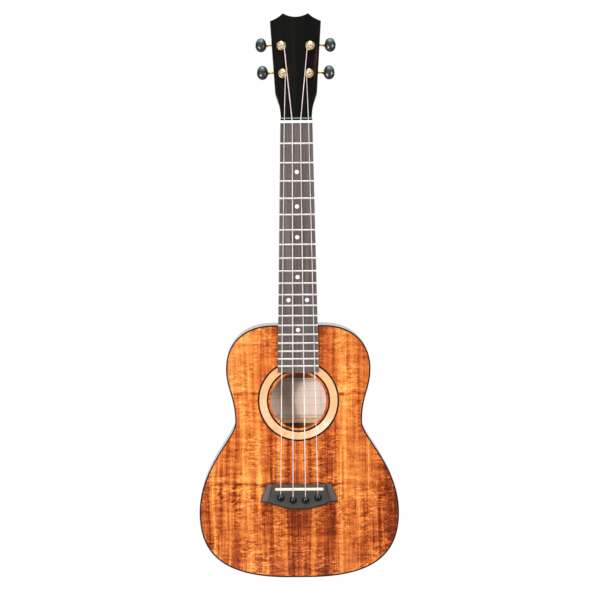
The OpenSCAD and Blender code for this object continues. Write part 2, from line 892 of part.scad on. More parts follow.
// Fretboard
dot_frets = [3, 5, 7, 10, 12, 15];
paired_fret = 12;
function dot_z(n) = (fret_z(n) + fret_z(n - 1)) / 2;
module dots(r) {
    for (n = dot_frets, x = n == paired_fret ? [-dot_pair_step / 2, dot_pair_step / 2] : [0])
        along_y(x, dot_z(n), -board_t, -board_t + dot_t, r);
}
module edge_dots(r) {
    for (n = dot_frets)
        along_x(-board_half(dot_z(n)), -board_half(dot_z(n)) + dot_t, -board_t / 2, dot_z(n), r);
}
module fretboard() {
    color([0.3, 0.27, 0.26])
        difference() {
            slab(-board_t, 0)
                polygon([
                    [-nut_w / 2, 0], [nut_w / 2, 0],
                    [board_end_w / 2, -board_length], [-board_end_w / 2, -board_length]
                ]);
            for (n = [1:fret_count])
                translate([0, -board_t - past, fret_z(n) - tang_t / 2 - fit_gap])
                    translate([-board_end_w, 0, 0])
                        cube([2 * board_end_w, tang_h + past + fit_gap, tang_t + 2 * fit_gap]);
            dots(dot_r + fit_gap);
            edge_dots(side_dot_r + fit_gap);
        }
}
module frets() {
    crown_r = (pow(fret_w / 2, 2) + fret_h * fret_h) / (2 * fret_h);
    color([0.86, 0.84, 0.78])
        for (n = [1:fret_count])
            across(board_half(fret_z(n) + fret_w / 2)) {
                intersection() {
                    translate([crown_r - board_t - fret_h, fret_z(n)])
                        circle(crown_r);
                    translate([-board_t - 2 * fret_h, fret_z(n) - fret_w])
                        square([2 * fret_h, 2 * fret_w]);
                }
                translate([-board_t - fret_h / 2, fret_z(n) - tang_t / 2])
                    square([fret_h / 2 + tang_h, tang_t]);
            }
}
module position_dots() {
    color([0.94, 0.93, 0.9])
        dots(dot_r);
}
module side_dots() {
    color([0.94, 0.93, 0.9])
        edge_dots(side_dot_r);
}
// Middle of string k where it leaves the nut's front edge
function nut_point(k) =
    [string_x(k, nut_string_step), -nut_seat_y - string_d[k - 1] / 2 - string_rest_gap, 0];
// Slope of the nut's slots below the strings, so that the strings bear on the front edge
slot_fall = 1;
module nut() {
    color([0.95, 0.92, 0.84])
        difference() {
            slab(-nut_seat_y - nut_lip, 0)
                translate([-nut_w / 2, 0])
                    square([nut_w, nut_t]);
            for (k = [1:4]) {
                p = nut_point(k);
                d = post_entry(k) - p;
                w = string_d[k - 1] + 4 * string_rest_gap;
                translate([p.x, -nut_seat_y, 0])
                    rotate([-atan2(d.y, d.z) - slot_fall, atan2(d.x, d.z), 0])
                        translate([-w / 2, -2 * nut_lip - w, -past])
                            cube([w, 2 * nut_lip + w, nut_t * 2]);
            }
        }
}

// Head
function reversed(list) = [for (i = [len(list) - 1:-1:0]) list[i]];
function mirrored(list) = [for (p = reversed(list)) [-p.x, p.y]];
// Inner points of an arc from a to b that dips to the right of its way by dip
function dipped(a, b, dip) =
    let (
        chord = norm(b - a),
        r = (chord * chord / 4 + dip * dip) / (2 * dip),
        along = (b - a) / chord,
        left = [-along.y, along.x],
        centre = (a + b) / 2 + left * (r - dip),
        reach = asin(chord / 2 / r)
    )
    [for (i = [1:arc_steps - 1])
        let (q = reach * (2 * i / arc_steps - 1))
        centre - r * cos(q) * left + r * sin(q) * along];
arc_steps = 8;
crest_tip = [crest_w / 2, crest_z];
top_corner = [head_top_w / 2, head_top_z];
head_side = concat(
    [for (i = [0:arc_steps]) let (z = head_ear_z * i / arc_steps) [head_half(z), z]],
    [top_corner],
    reversed(dipped(crest_tip, top_corner, crest_side_dip)),
    [crest_tip]
);
head_outline = concat(
    head_side,
    reversed(dipped([-crest_tip.x, crest_tip.y], crest_tip, crest_dip)),
    mirrored(head_side)
);
post_room = 0.5;
module barrel_holes() {
    at_tuners()
        along_y(
            0, 0,
            -head_t - veneer_t - past, -head_t - veneer_t + barrel_length + fit_gap,
            barrel_r + fit_gap
        );
}
module headstock() {
    color([0.42, 0.22, 0.13])
        difference() {
            in_head()
                slab(0, head_t)
                    intersection() {
                        polygon(head_outline);
                        translate([-head_top_w, scarf_z])
                            square([2 * head_top_w, crest_z]);
                    }
            barrel_holes();
            at_tuners() {
                along_y(0, 0, -head_t - past, past, post_r + post_room);
                for (z = screw_z)
                    along_y(0, z, -screw_length - fit_gap, past, screw_r + fit_gap);
            }
        }
}
module headstock_veneer() {
    color([0.08, 0.07, 0.06])
        difference() {
            in_head()
                slab(-veneer_t, 0) {
                    polygon(head_outline);
                    translate([-head_base_w / 2, -veneer_t])
                        square([head_base_w, 2 * veneer_t]);
                }
            translate([-head_top_w, -head_top_w, nut_t - head_top_w])
                cube([2 * head_top_w, 2 * head_top_w, head_top_w]);
            barrel_holes();
        }
}

// Tuners
module post_bushings() {
    face = head_t + veneer_t;
    color([0.83, 0.67, 0.3])
        at_tuners()
            difference() {
                union() {
                    along_y(0, 0, -face - bushing_washer_t, -face, bushing_washer_r);
                    along_y(0, 0, -face - bushing_washer_t / 2, -face + barrel_length, barrel_r);
                    slab(-bushing_top, -face - bushing_washer_t)
                        rotate(30)
                            circle(hex_w / sqrt(3), $fn = 6);
                }
                along_y(0, 0, -bushing_top - past, -face + barrel_length + past, post_r + running_gap);
            }
}
module plate_plan() {
    translate([-plate_half, -plate_low])
        square([2 * plate_half, plate_low + plate_high]);
    for (z = screw_z) {
        translate([0, z])
            circle(screw_tab_r);
        translate([-screw_tab_r, min(z, 0)])
            square([2 * screw_tab_r, abs(z)]);
    }
}
module tuner_plates() {
    color([0.8, 0.64, 0.29])
        at_tuners()
            difference() {
                union() {
                    slab(0, plate_t)
                        plate_plan();
                    for (x = [-ear_x - ear_t, ear_x])
                        translate([x, 0, worm_z - ear_half])
                            cube([ear_t, ear_top, 2 * ear_half]);
                }
                along_y(0, 0, -past, plate_t + past, post_r + running_gap);
                along_x(-plate_half - past, plate_half + past, worm_y, worm_z, shaft_r + running_gap);
                for (z = screw_z)
                    along_y(0, z, -past, plate_t + past, screw_r + fit_gap);
            }
}
module plate_screws() {
    color([0.85, 0.7, 0.34])
        at_tuners()
            for (z = screw_z)
                translate([0, 0, z])
                    rotate([180, 0, 0])
                        turned(concat(
                            [[0, -screw_length], [screw_r, -screw_length + screw_r], [screw_r, plate_t]],
                            dome(screw_head_r, screw_head_h, plate_t)
                        ));
}
function gear_half_at(r) = gear_half_tooth - (r - gear_pitch_r) * flank;
function around(r, a) = [r * cos(a), r * sin(a)];
gear_tip_r = gear_pitch_r + addendum;
gear_root_r = gear_pitch_r - dedendum;
// The gap between two teeth faces the worm
gear_outline = [
    for (i = [0:gear_teeth - 1])
        let (
            a = 90 + (i + 0.5) * 360 / gear_teeth,
            root = asin(gear_half_at(gear_root_r) / gear_root_r),
            tip = asin(gear_half_at(gear_tip_r) / gear_tip_r)
        )
        each [
            around(gear_root_r, a - root), around(gear_tip_r, a - tip),
            around(gear_tip_r, a + tip), around(gear_root_r, a + root)
        ]
];
module gear(k) {
    color([0.84, 0.68, 0.32])
        at_tuner(k) {
            difference() {
                slab(gear_y, gear_y + gear_w)
                    polygon(gear_outline);
                along_y(0, 0, gear_y - past, gear_y + gear_w + past, spigot_r + fit_gap);
            }
            rotate([180, 0, 0])
                turned(concat(
                    [
                        [0, gear_y + gear_w - gear_screw_length],
                        [gear_screw_r, gear_y + gear_w - gear_screw_length],
                        [gear_screw_r, gear_y + gear_w + fit_gap]
                    ],
                    dome(gear_screw_head_r, gear_screw_h, gear_y + gear_w + fit_gap)
                ));
        }
}
module post(k) {
    color([0.86, 0.71, 0.34])
        at_tuner(k)
            difference() {
                turned(concat(
                    [
                        [0, -gear_y - gear_w], [spigot_r, -gear_y - gear_w], [spigot_r, -gear_y],
                        [post_r, -gear_y], [post_r, spool_start], [spool_r, spool_start + pin_gap],
                        [spool_r, spool_end - pin_gap]
                    ],
                    dome(post_r, post_tip_h, spool_end)
                ));
                along_y(
                    0, 0, gear_y + gear_w - gear_screw_length - pin_gap, gear_y + gear_w + past,
                    gear_screw_r + fit_gap
                );
                along_x(-2 * post_r, 2 * post_r, -spool_end + spool_room / 2, 0, string_hole_r);
            }
}
// The worm's thread: a ridge with sloping flanks, carried round the shaft
thread_steps = 16;
thread_foot = 0.15;
crest_half = worm_half_thread - addendum * flank;
root_half = worm_half_thread + dedendum * flank;
function thread_ring(turn) =
    let (
        a = 270 + 360 * turn,
        x = thread_pitch * turn,
        inner = worm_r - dedendum - thread_foot,
        outer = worm_r + addendum
    )
    [for (p = [[-root_half, inner], [root_half, inner], [crest_half, outer], [-crest_half, outer]])
        [x + p.x, worm_y + p.y * cos(a), worm_z + p.y * sin(a)]];
module worm_shaft(k) {
    color([0.83, 0.67, 0.31])
        at_tuner(k) {
            along_x(-ear_x - ear_t - mesh_gap, knob_x + knob_bore, worm_y, worm_z, shaft_r);
            along_x(-worm_body_half, worm_body_half, worm_y, worm_z, worm_r - dedendum);
            along_x(knob_x - collar_length, knob_x, worm_y, worm_z, collar_r);
            loft([
                for (i = [0:worm_turns * thread_steps])
                    thread_ring(i / thread_steps - worm_turns / 2)
            ]);
        }
}
// A knob: sections across the shaft whose height and thickness swell towards the middle
knob_sections = 11;
knob_sides = 24;
knob_power = 2.3;
knob_end_angle = 8;
function swell(v) = sign(v) * pow(abs(v), 2 / knob_power);
function knob_ring(s) =
    let (
        a = mix(knob_end_angle, 180 - knob_end_angle, s),
        x = knob_x + knob_length / 2 * (1 - swell(cos(a)) / swell(cos(knob_end_angle))),
        w = swell(sin(a))
    )
    [for (j = [0:knob_sides - 1])
        let (b = 360 * j / knob_sides)
        [x, worm_y + knob_t / 2 * w * swell(cos(b)), worm_z + knob_h / 2 * w * swell(sin(b))]];
module knob(k) {
    color([0.1, 0.11, 0.12])
        at_tuner(k)
            difference() {
                loft([for (i = [0:knob_sections - 1]) knob_ring(i / (knob_sections - 1))]);
                along_x(knob_x - past, knob_x + knob_bore + fit_gap, worm_y, worm_z, shaft_r + fit_gap);
            }
}

// Bridge
block_low = [block_low_w / 2, -bridge_drop];
belly = reversed(dipped([-block_low.x, block_low.y], block_low, belly_drop));
module bridge_plan(top_w, low_w) {
    translate([0, saddle_z])
        polygon(concat(
            [[-top_w / 2, bridge_rise], [top_w / 2, bridge_rise], [low_w / 2, -bridge_drop], block_low],
            belly,
            [[-block_low.x, block_low.y], [-low_w / 2, -bridge_drop]]
        ));
}
module bridge() {
    color([0.24, 0.22, 0.22])
        difference() {
            union() {
                slab(-wing_h, 0)
                    bridge_plan(bridge_top_w, bridge_low_w);
                slab(-bridge_h, 0)
                    bridge_plan(block_top_w, block_low_w + fit_gap);
            }
            slab(-bridge_h - past, -bridge_h + saddle_seat)
                translate([-saddle_w / 2 - fit_gap, saddle_z - saddle_t / 2 - fit_gap])
                    square([saddle_w + 2 * fit_gap, saddle_t + 2 * fit_gap]);
            pin_holes(-bridge_h - past, past);
        }
}
module saddle() {
    crown = saddle_t / 2;
    color([0.95, 0.92, 0.84])
        across(saddle_w / 2)
            translate([0, saddle_z])
                polygon(concat(
                    [[-bridge_h + saddle_seat, crown], [-bridge_h + saddle_seat, -crown]],
                    [for (a = [-90:15:90]) [crown - saddle_top_y - crown * cos(a), crown * sin(a)]]
                ));
}
module bridge_pin(k) {
    collar = bridge_h + pin_collar_h;
    color([0.06, 0.06, 0.06])
        translate([pin_x(k), 0, pin_z(k)])
            turned(concat(
                [
                    [0, bridge_h - pin_length], [pin_end_r - mesh_gap, bridge_h - pin_length],
                    [pin_end_r, bridge_h - pin_length + mesh_gap], [pin_r, bridge_h], [pin_r, collar]
                ],
                dome(pin_head_r, pin_head_h, collar)
            ));
}

// Strings: each one tube from its knot under the bridge, over saddle and nut, to the turns on its post
string_sides = 6;
turn_steps = 24;
saddle_steps = 3;
bend_steps = 3;
bend_reach = 0.6;
function wind_r(k) = spool_r + winding_gap + string_d[k - 1] / 2;
function wind_pitch(k) = string_d[k - 1] + turn_gap;
// Angle on the post where the string arrives, on the side that faces the centre line
function entry_angle(k) =
    let (n = to_head(nut_point(k)), d = [n.x - tuner_x(k), n.z - tuner_z(k)])
    atan2(d.y, d.x) - tuner_side(k) * acos(wind_r(k) / norm(d));
// Point of the winding after some turns
function wind_point(k, turns) =
    let (
        a = entry_angle(k) - tuner_side(k) * 360 * turns,
        level = winding_start - head_t + string_d[k - 1] / 2 + wind_pitch(k) * turns
    )
    from_head([tuner_x(k) + wind_r(k) * cos(a), -level, tuner_z(k) + wind_r(k) * sin(a)]);
function post_entry(k) = wind_point(k, 0);
function string_path(k) =
    let (
        r = string_d[k - 1] / 2,
        knot = top_t + bridge_plate_t + string_rest_gap,
        foot_z = pin_z(k) + string_slot,
        corner = [pin_x(k), -bridge_h - r - string_lift, foot_z],
        crown = saddle_t / 2,
        wrap_r = crown + r + string_rest_gap,
        from_crown = [saddle_top_y - crown + corner.y, saddle_z - foot_z],
        lean = atan2(from_crown.y, -from_crown.x) - acos(wrap_r / norm(from_crown)),
        over = [
            for (i = [0:saddle_steps])
                let (a = lean * (1 - i / saddle_steps))
                [
                    string_x(k, saddle_string_step),
                    -saddle_top_y + crown - wrap_r * cos(a),
                    saddle_z - wrap_r * sin(a)
                ]
        ],
        rise = unit(over[0] - corner),
        bend = [
            for (i = [0:bend_steps])
                let (t = i / bend_steps)
                corner + bend_reach * (pow(1 - t, 2) * [0, 1, 0] + t * t * rise)
        ]
    )
    concat(
        [for (h = [knot_h, string_rest_gap, 0]) [pin_x(k), knot + h, foot_z]],
        bend,
        over,
        [nut_point(k)],
        [for (i = [0:post_turns * turn_steps]) wind_point(k, i / turn_steps)]
    );
knot_h = 1.6;
knot_r = 0.95;
// Direction of a path at one of its points
function way(path, i) =
    unit(
        (i > 0 ? unit(path[i] - path[i - 1]) : [0, 0, 0])
        + (i < len(path) - 1 ? unit(path[i + 1] - path[i]) : [0, 0, 0])
    );
// The part of v that is square to direction d
function square_to(v, d) = unit(v - (v * d) * d);
// Side directions carried along a path without twist
function carried(path) = [
    for (i = 0, s = [1, 0, 0]; i < len(path); i = i + 1, s = i < len(path) ? square_to(s, way(path, i)) : s)
        s
];
module tube(path, radii) {
    sides = carried(path);
    loft([
        for (i = [0:len(path) - 1])
            let (u = sides[i], v = cross(way(path, i), u))
            [for (j = [0:string_sides - 1])
                let (a = 360 * j / string_sides)
                path[i] + radii[i] * (cos(a) * u + sin(a) * v)]
    ]);
}
// Least distance between two stretches of a string that lie at least half a turn apart, less its diameter
function self_gap(path, d) = min([
    for (i = [0:len(path) - 1 - turn_steps / 2])
        for (j = [i + turn_steps / 2:len(path) - 1])
            norm(path[i] - path[j])
]) - d;
module string(k) {
    path = string_path(k);
    r = string_d[k - 1] / 2;
    echo(str("string_", k, " least gap to itself, mm: ", self_gap(path, 2 * r)));
    color([0.86, 0.8, 0.82])
        tube(path, [for (i = [0:len(path) - 1]) i < 2 ? knot_r : r]);
}

soundboard();
back_plate();
side_bass();
side_treble();
tail_graft();
binding_front();
binding_back();
rosette_ring();
rosette_purfling();
head_block();
tail_block();
linings();
top_braces();
fan_braces();
back_braces();
bridge_plate();
label();
neck();
headstock();
headstock_veneer();
heel_cap();
neck_bolt();
bolt_washer();
heel_insert();
fretboard();
frets();
position_dots();
side_dots();
nut();
bridge();
saddle();
tuner_plates();
plate_screws();
post_bushings();
for (k = [1:4]) {
    bridge_pin(k);
    string(k);
    knob(k);
    worm_shaft(k);
    gear(k);
    post(k);
}
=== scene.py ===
"""Looks of a tenor ukulele: finishes, smooth shells, strings and a studio round the fixed frame.

Lengths are in metres. +Z runs up the neck, the soundboard faces -Y and X runs across the strings.
"""

import json
import logging
import math
from collections.abc import Callable
from dataclasses import dataclass, field, replace
from enum import Enum

import bmesh
import bpy
import numpy as np
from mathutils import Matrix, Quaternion, Vector


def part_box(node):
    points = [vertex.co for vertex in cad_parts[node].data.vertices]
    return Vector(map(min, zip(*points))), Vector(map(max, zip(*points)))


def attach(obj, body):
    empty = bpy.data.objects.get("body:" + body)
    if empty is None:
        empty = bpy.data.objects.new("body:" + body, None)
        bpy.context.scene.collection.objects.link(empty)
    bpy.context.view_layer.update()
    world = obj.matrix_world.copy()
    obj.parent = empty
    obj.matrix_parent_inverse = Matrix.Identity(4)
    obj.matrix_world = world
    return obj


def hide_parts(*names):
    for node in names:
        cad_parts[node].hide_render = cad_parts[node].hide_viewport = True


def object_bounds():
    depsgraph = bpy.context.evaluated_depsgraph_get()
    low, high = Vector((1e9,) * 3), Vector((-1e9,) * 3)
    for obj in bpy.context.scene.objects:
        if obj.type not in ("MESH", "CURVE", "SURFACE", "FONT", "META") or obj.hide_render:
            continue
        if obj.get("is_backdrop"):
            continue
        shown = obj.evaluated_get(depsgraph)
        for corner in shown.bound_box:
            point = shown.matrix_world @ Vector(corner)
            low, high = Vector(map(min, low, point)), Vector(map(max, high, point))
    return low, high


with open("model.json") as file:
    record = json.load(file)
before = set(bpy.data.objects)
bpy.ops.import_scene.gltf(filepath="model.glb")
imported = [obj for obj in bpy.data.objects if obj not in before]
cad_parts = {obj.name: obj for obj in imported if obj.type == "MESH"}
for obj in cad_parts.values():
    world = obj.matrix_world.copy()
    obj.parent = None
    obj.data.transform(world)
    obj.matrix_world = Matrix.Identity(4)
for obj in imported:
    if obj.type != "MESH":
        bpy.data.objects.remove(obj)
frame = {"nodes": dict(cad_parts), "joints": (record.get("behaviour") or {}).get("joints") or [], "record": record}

LOG = logging.getLogger("ukulele")
MM = 0.001
MERGE_REACH = 1e-7
SHARP_ANGLE = math.radians(34)
ROOT = "instrument"
HEAD_TILT = math.radians(14)
STRING_NUMBERS = (1, 2, 3, 4)
WHITE = (1.0, 1.0, 1.0)
MIRROR = np.array([-1.0, 1.0])
SLANT = np.array([1.0, 1.0, 0.0])
Array = np.ndarray
Colour = tuple[float, float, float]
Stops = tuple[tuple[float, Colour], ...]
Range = tuple[float, float]
Mark = tuple[float, float, float]
Spot = tuple[float, float, float, float, float]


def srgb(red: float, green: float, blue: float) -> Colour:
    """Turns screen values from 0 to 255 into linear light: ((c + 0.055) / 1.055) ^ 2.4."""
    return tuple(((value / 255 + 0.055) / 1.055) ** 2.4 for value in (red, green, blue))


def mix(start: Array | float, end: Array | float, share: Array | float) -> Array | float:
    """Straight blend: start + (end - start) * share."""
    return start + (end - start) * share


def smooth(share: Array | float) -> Array:
    """Eased blend: 3 s^2 - 2 s^3, with s held between 0 and 1."""
    held = np.clip(share, 0.0, 1.0)
    return held * held * (3 - 2 * held)


def unit(way: Array) -> Array:
    """Directions of length 1: v / |v|."""
    return way / np.linalg.norm(way, axis=-1, keepdims=True)


def places(*axes: Array | float) -> Array:
    """Joins two or three coordinates into places; each is spread to the shape of them all."""
    return np.stack(np.broadcast_arrays(*axes), axis=-1)


def left_of(way: Array) -> Array:
    """Plan directions turned a quarter to the left: (-z, x)."""
    return places(-way[..., 1], way[..., 0])


def rounding(radius: float, steps: int = 6) -> Array:
    """Rows of inset and depth over a rounded edge: r (1 - cos t) and r (1 - sin t) for a quarter turn."""
    turn = np.linspace(0, math.pi / 2, steps)
    return radius * (1 - places(np.cos(turn), np.sin(turn)))


def middle(node: str) -> Array:
    """Middle of a CAD node's box."""
    return np.array(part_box(node)).mean(axis=0)


def joint_place(name: str) -> Array:
    """A point on the axis of one of the frame's joints."""
    return np.array(next(joint["pos_m"] for joint in frame["joints"] if joint["name"] == name))


# Shader nodes written as expressions


class Grain(Enum):
    """Which way a wood's grain runs."""

    UP_NECK = "up_neck"
    UP_HEAD = "up_head"
    ALONG_RIB = "along_rib"
    ACROSS = "across"
    ROUND_HOLE = "round_hole"


def math_operator(operation: str, reflected: bool = False) -> Callable[["Value", "Value | float"], "Value"]:
    """Makes an operator of Value.

    Args:
        operation: the Math node's operation.
        reflected: puts the other value first, as in 1 - mask.

    Returns:
        The method that adds the node.
    """

    def method(self: "Value", other: "Value | float") -> "Value":
        """Adds one Math node to the value's own sheet."""
        pair = (other, self) if reflected else (self, other)
        return self.sheet.math(operation, *pair)

    return method


class Value:
    """A shader socket; arithmetic on it adds Math nodes."""

    def __init__(self, sheet: "Sheet", socket: bpy.types.NodeSocket | None) -> None:
        """Keeps the socket and the sheet that it belongs to."""
        self.sheet = sheet
        self.socket = socket

    __add__ = math_operator("ADD")
    __radd__ = __add__
    __sub__ = math_operator("SUBTRACT")
    __rsub__ = math_operator("SUBTRACT", reflected=True)
    __mul__ = math_operator("MULTIPLY")
    __rmul__ = __mul__
    __truediv__ = math_operator("DIVIDE")
    __rtruediv__ = math_operator("DIVIDE", reflected=True)
    __pow__ = math_operator("POWER")
    __rpow__ = math_operator("POWER", reflected=True)

    def __abs__(self) -> "Value":
        """Size without sign."""
        return self.sheet.math("ABSOLUTE", self)

    def root(self) -> "Value":
        """Square root."""
        return self.sheet.math("SQRT", self)

    def rounded(self) -> "Value":
        """The nearest whole number."""
        return self.sheet.math("ROUND", self)

    def most(self, other: "Value | float") -> "Value":
        """The larger of the two."""
        return self.sheet.math("MAXIMUM", self, other)

    def held(self) -> "Value":
        """Held between 0 and 1."""
        return self.sheet.math("MINIMUM", self, 1.0).most(0.0)

    def between(self, low: float, high: float) -> "Value":
        """Eases from 0 at low to 1 at high."""
        inputs = {"Value": self, "From Min": low, "From Max": high}
        return self.sheet.node("MapRange", inputs, interpolation_type="SMOOTHSTEP")

    def hump(self, centre: float, width: float) -> "Value":
        """A soft hill: 1 / (1 + ((v - centre) / width)^4)."""
        offset = (self - centre) / width
        return 1 / (1 + offset**4)

    def sibling(self, out: int | str) -> "Value":
        """Another output of the same node."""
        return Value(self.sheet, self.socket.node.outputs[out])


Place = tuple[Value | float, Value | float, Value | float]


class Sheet:
    """One node sheet, of a material or of the world."""

    def __init__(self, tree: bpy.types.NodeTree) -> None:
        """Empties the tree and keeps it."""
        tree.nodes.clear()
        self.tree = tree

    def node(self, kind: str, inputs: dict | None = None, out: int | str = 0, **settings: object) -> Value:
        """Adds one node.

        Args:
            kind: the node's type, without the ShaderNode in front.
            inputs: a value or a link for each socket, by name or number.
            out: the output that is handed back.
            settings: the node's properties, set first; stops fills a colour ramp.

        Returns:
            The chosen output, or a value without a socket where the node has no output.
        """
        made = self.tree.nodes.new(f"ShaderNode{kind}")
        for key, setting in settings.items():
            if key == "stops":
                self.fill_ramp(made.color_ramp, setting)
            else:
                setattr(made, key, setting)
        for key, value in (inputs or {}).items():
            if isinstance(value, Value):
                self.tree.links.new(value.socket, made.inputs[key])
            else:
                made.inputs[key].default_value = value
        return Value(self, made.outputs[out] if len(made.outputs) else None)

    @staticmethod
    def fill_ramp(ramp: bpy.types.ColorRamp, stops: Stops) -> None:
        """Sets a colour ramp's stops.

        Args:
            ramp: a new ramp, with its first two stops.
            stops: places and colours, in rising order.
        """
        ramp.elements[0].position = stops[0][0]
        ramp.elements[1].position = stops[-1][0]
        for place, _ in stops[1:-1]:
            ramp.elements.new(place)
        for element, (_, colour) in zip(ramp.elements, stops):
            element.color = (*colour, 1.0)

    def math(self, operation: str, *values: Value | float) -> Value:
        """Adds one Math node on any mix of values and numbers."""
        return self.node("Math", dict(enumerate(values)), operation=operation)

    def split(self, vector: Value) -> tuple[Value, Value, Value]:
        """Takes a vector apart into its three values."""
        first = self.node("SeparateXYZ", {0: vector})
        return first, first.sibling(1), first.sibling(2)

    def axes(self) -> tuple[Value, Value, Value]:
        """Object coordinates in metres: x, y and z."""
        return self.split(self.node("TexCoord", out="Object"))

    def rays(self) -> tuple[Value, Value, Value]:
        """1 for rays from the camera, through glass and off gloss, in this order."""
        camera = self.node("LightPath", out="Is Camera Ray")
        return camera, camera.sibling("Is Transmission Ray"), camera.sibling("Is Glossy Ray")

    def grain(self, way: Grain) -> Place:
        """Coordinates across the grain, along it and through it, in metres.

        Args:
            way: which way the grain runs. Ribs read the piece's own map of lengths; the rosette reads
                the distance from the soundhole's middle and the turn round it.

        Returns:
            The three coordinates.
        """
        if way is Grain.ALONG_RIB:
            u, v, _ = self.split(self.node("UVMap", uv_map="lengths"))
            return v, u, 0.0
        x, y, z = self.axes()
        if way is Grain.ACROSS:
            return z, x, y
        if way is Grain.UP_HEAD:
            c, s = math.cos(HEAD_TILT), math.sin(HEAD_TILT)
            return x, z * c + y * s, y * c - z * s
        if way is Grain.ROUND_HOLE:
            down = z - Soundhole.from_frame().centre
            return (x * x + down * down).root(), self.math("ARCTAN2", x, down), y
        return x, z, y

    def blend(self, first: Value | Colour, second: Value | Colour, share: Value) -> Value:
        """Mixes two colours by share; 6 and 7 are the Mix node's colour inputs, 2 is its colour output."""
        wide = [colour if isinstance(colour, Value) else (*colour, 1.0) for colour in (first, second)]
        return self.node("Mix", {0: share, 6: wide[0], 7: wide[1]}, 2, data_type="RGBA")

    def ramp(self, value: Value, stops: Stops) -> Value:
        """Looks a value up in a colour ramp."""
        return self.node("ValToRGB", {0: value}, stops=stops)

    def bump(self, height: Value, depth: float, strength: float) -> Value:
        """Turns a height from 0 to 1 into a normal; depth is in metres."""
        return self.node("Bump", {"Strength": strength, "Distance": depth, "Height": height})

    def surface(self, **sockets: Value | float) -> None:
        """Ends the sheet in one surface shader; underscores in the names stand for spaces."""
        inputs = {key.replace("_", " "): value for key, value in sockets.items()}
        self.node("OutputMaterial", {"Surface": self.node("BsdfPrincipled", inputs)})


@dataclass(frozen=True)
class Layer:
    """One noise: feature sizes across, along and through the grain, seed, octaves and weight."""

    wide: float
    long: float
    deep: float
    seed: float
    detail: float
    weight: float = 1.0

    def times(self, wide: float, long: float) -> "Layer":
        """The same noise with larger features: wide times across and through the grain, long along it."""
        return replace(self, wide=self.wide * wide, long=self.long * long, deep=self.deep * wide)

    def noise(self, at: Place) -> Value:
        """The noise from 0 to 1, read at each coordinate over its size plus the seed.

        Args:
            at: the coordinates across, along and through; the first is never a bare number.

        Returns:
            The noise.
        """
        sheet = at[0].sheet
        sizes = (self.wide, self.long, self.deep)
        moved = dict(enumerate(value / size + self.seed for value, size in zip(at, sizes)))
        place = sheet.node("CombineXYZ", moved)
        return sheet.node("TexNoise", {"Vector": place, "Scale": 1.0, "Detail": self.detail})

    def swing(self, at: Place) -> Value:
        """The noise about 0, times the weight."""
        return (self.noise(at) - 0.5) * self.weight


# Finishes

MADE: dict[str, bpy.types.Material] = {}


@dataclass(frozen=True)
class Finish:
    """A named finish; each kind paints its own node sheet."""

    name: str

    def paint(self, sheet: Sheet) -> None:
        """Fills the sheet with the finish's nodes."""
        raise NotImplementedError

    def material(self) -> bpy.types.Material:
        """Makes the material at its first use and hands it out after that.

        Returns:
            The material.
        """
        if self.name not in MADE:
            made = bpy.data.materials.new(self.name)
            made.use_nodes = True
            self.paint(Sheet(made.node_tree))
            MADE[self.name] = made
        return MADE[self.name]


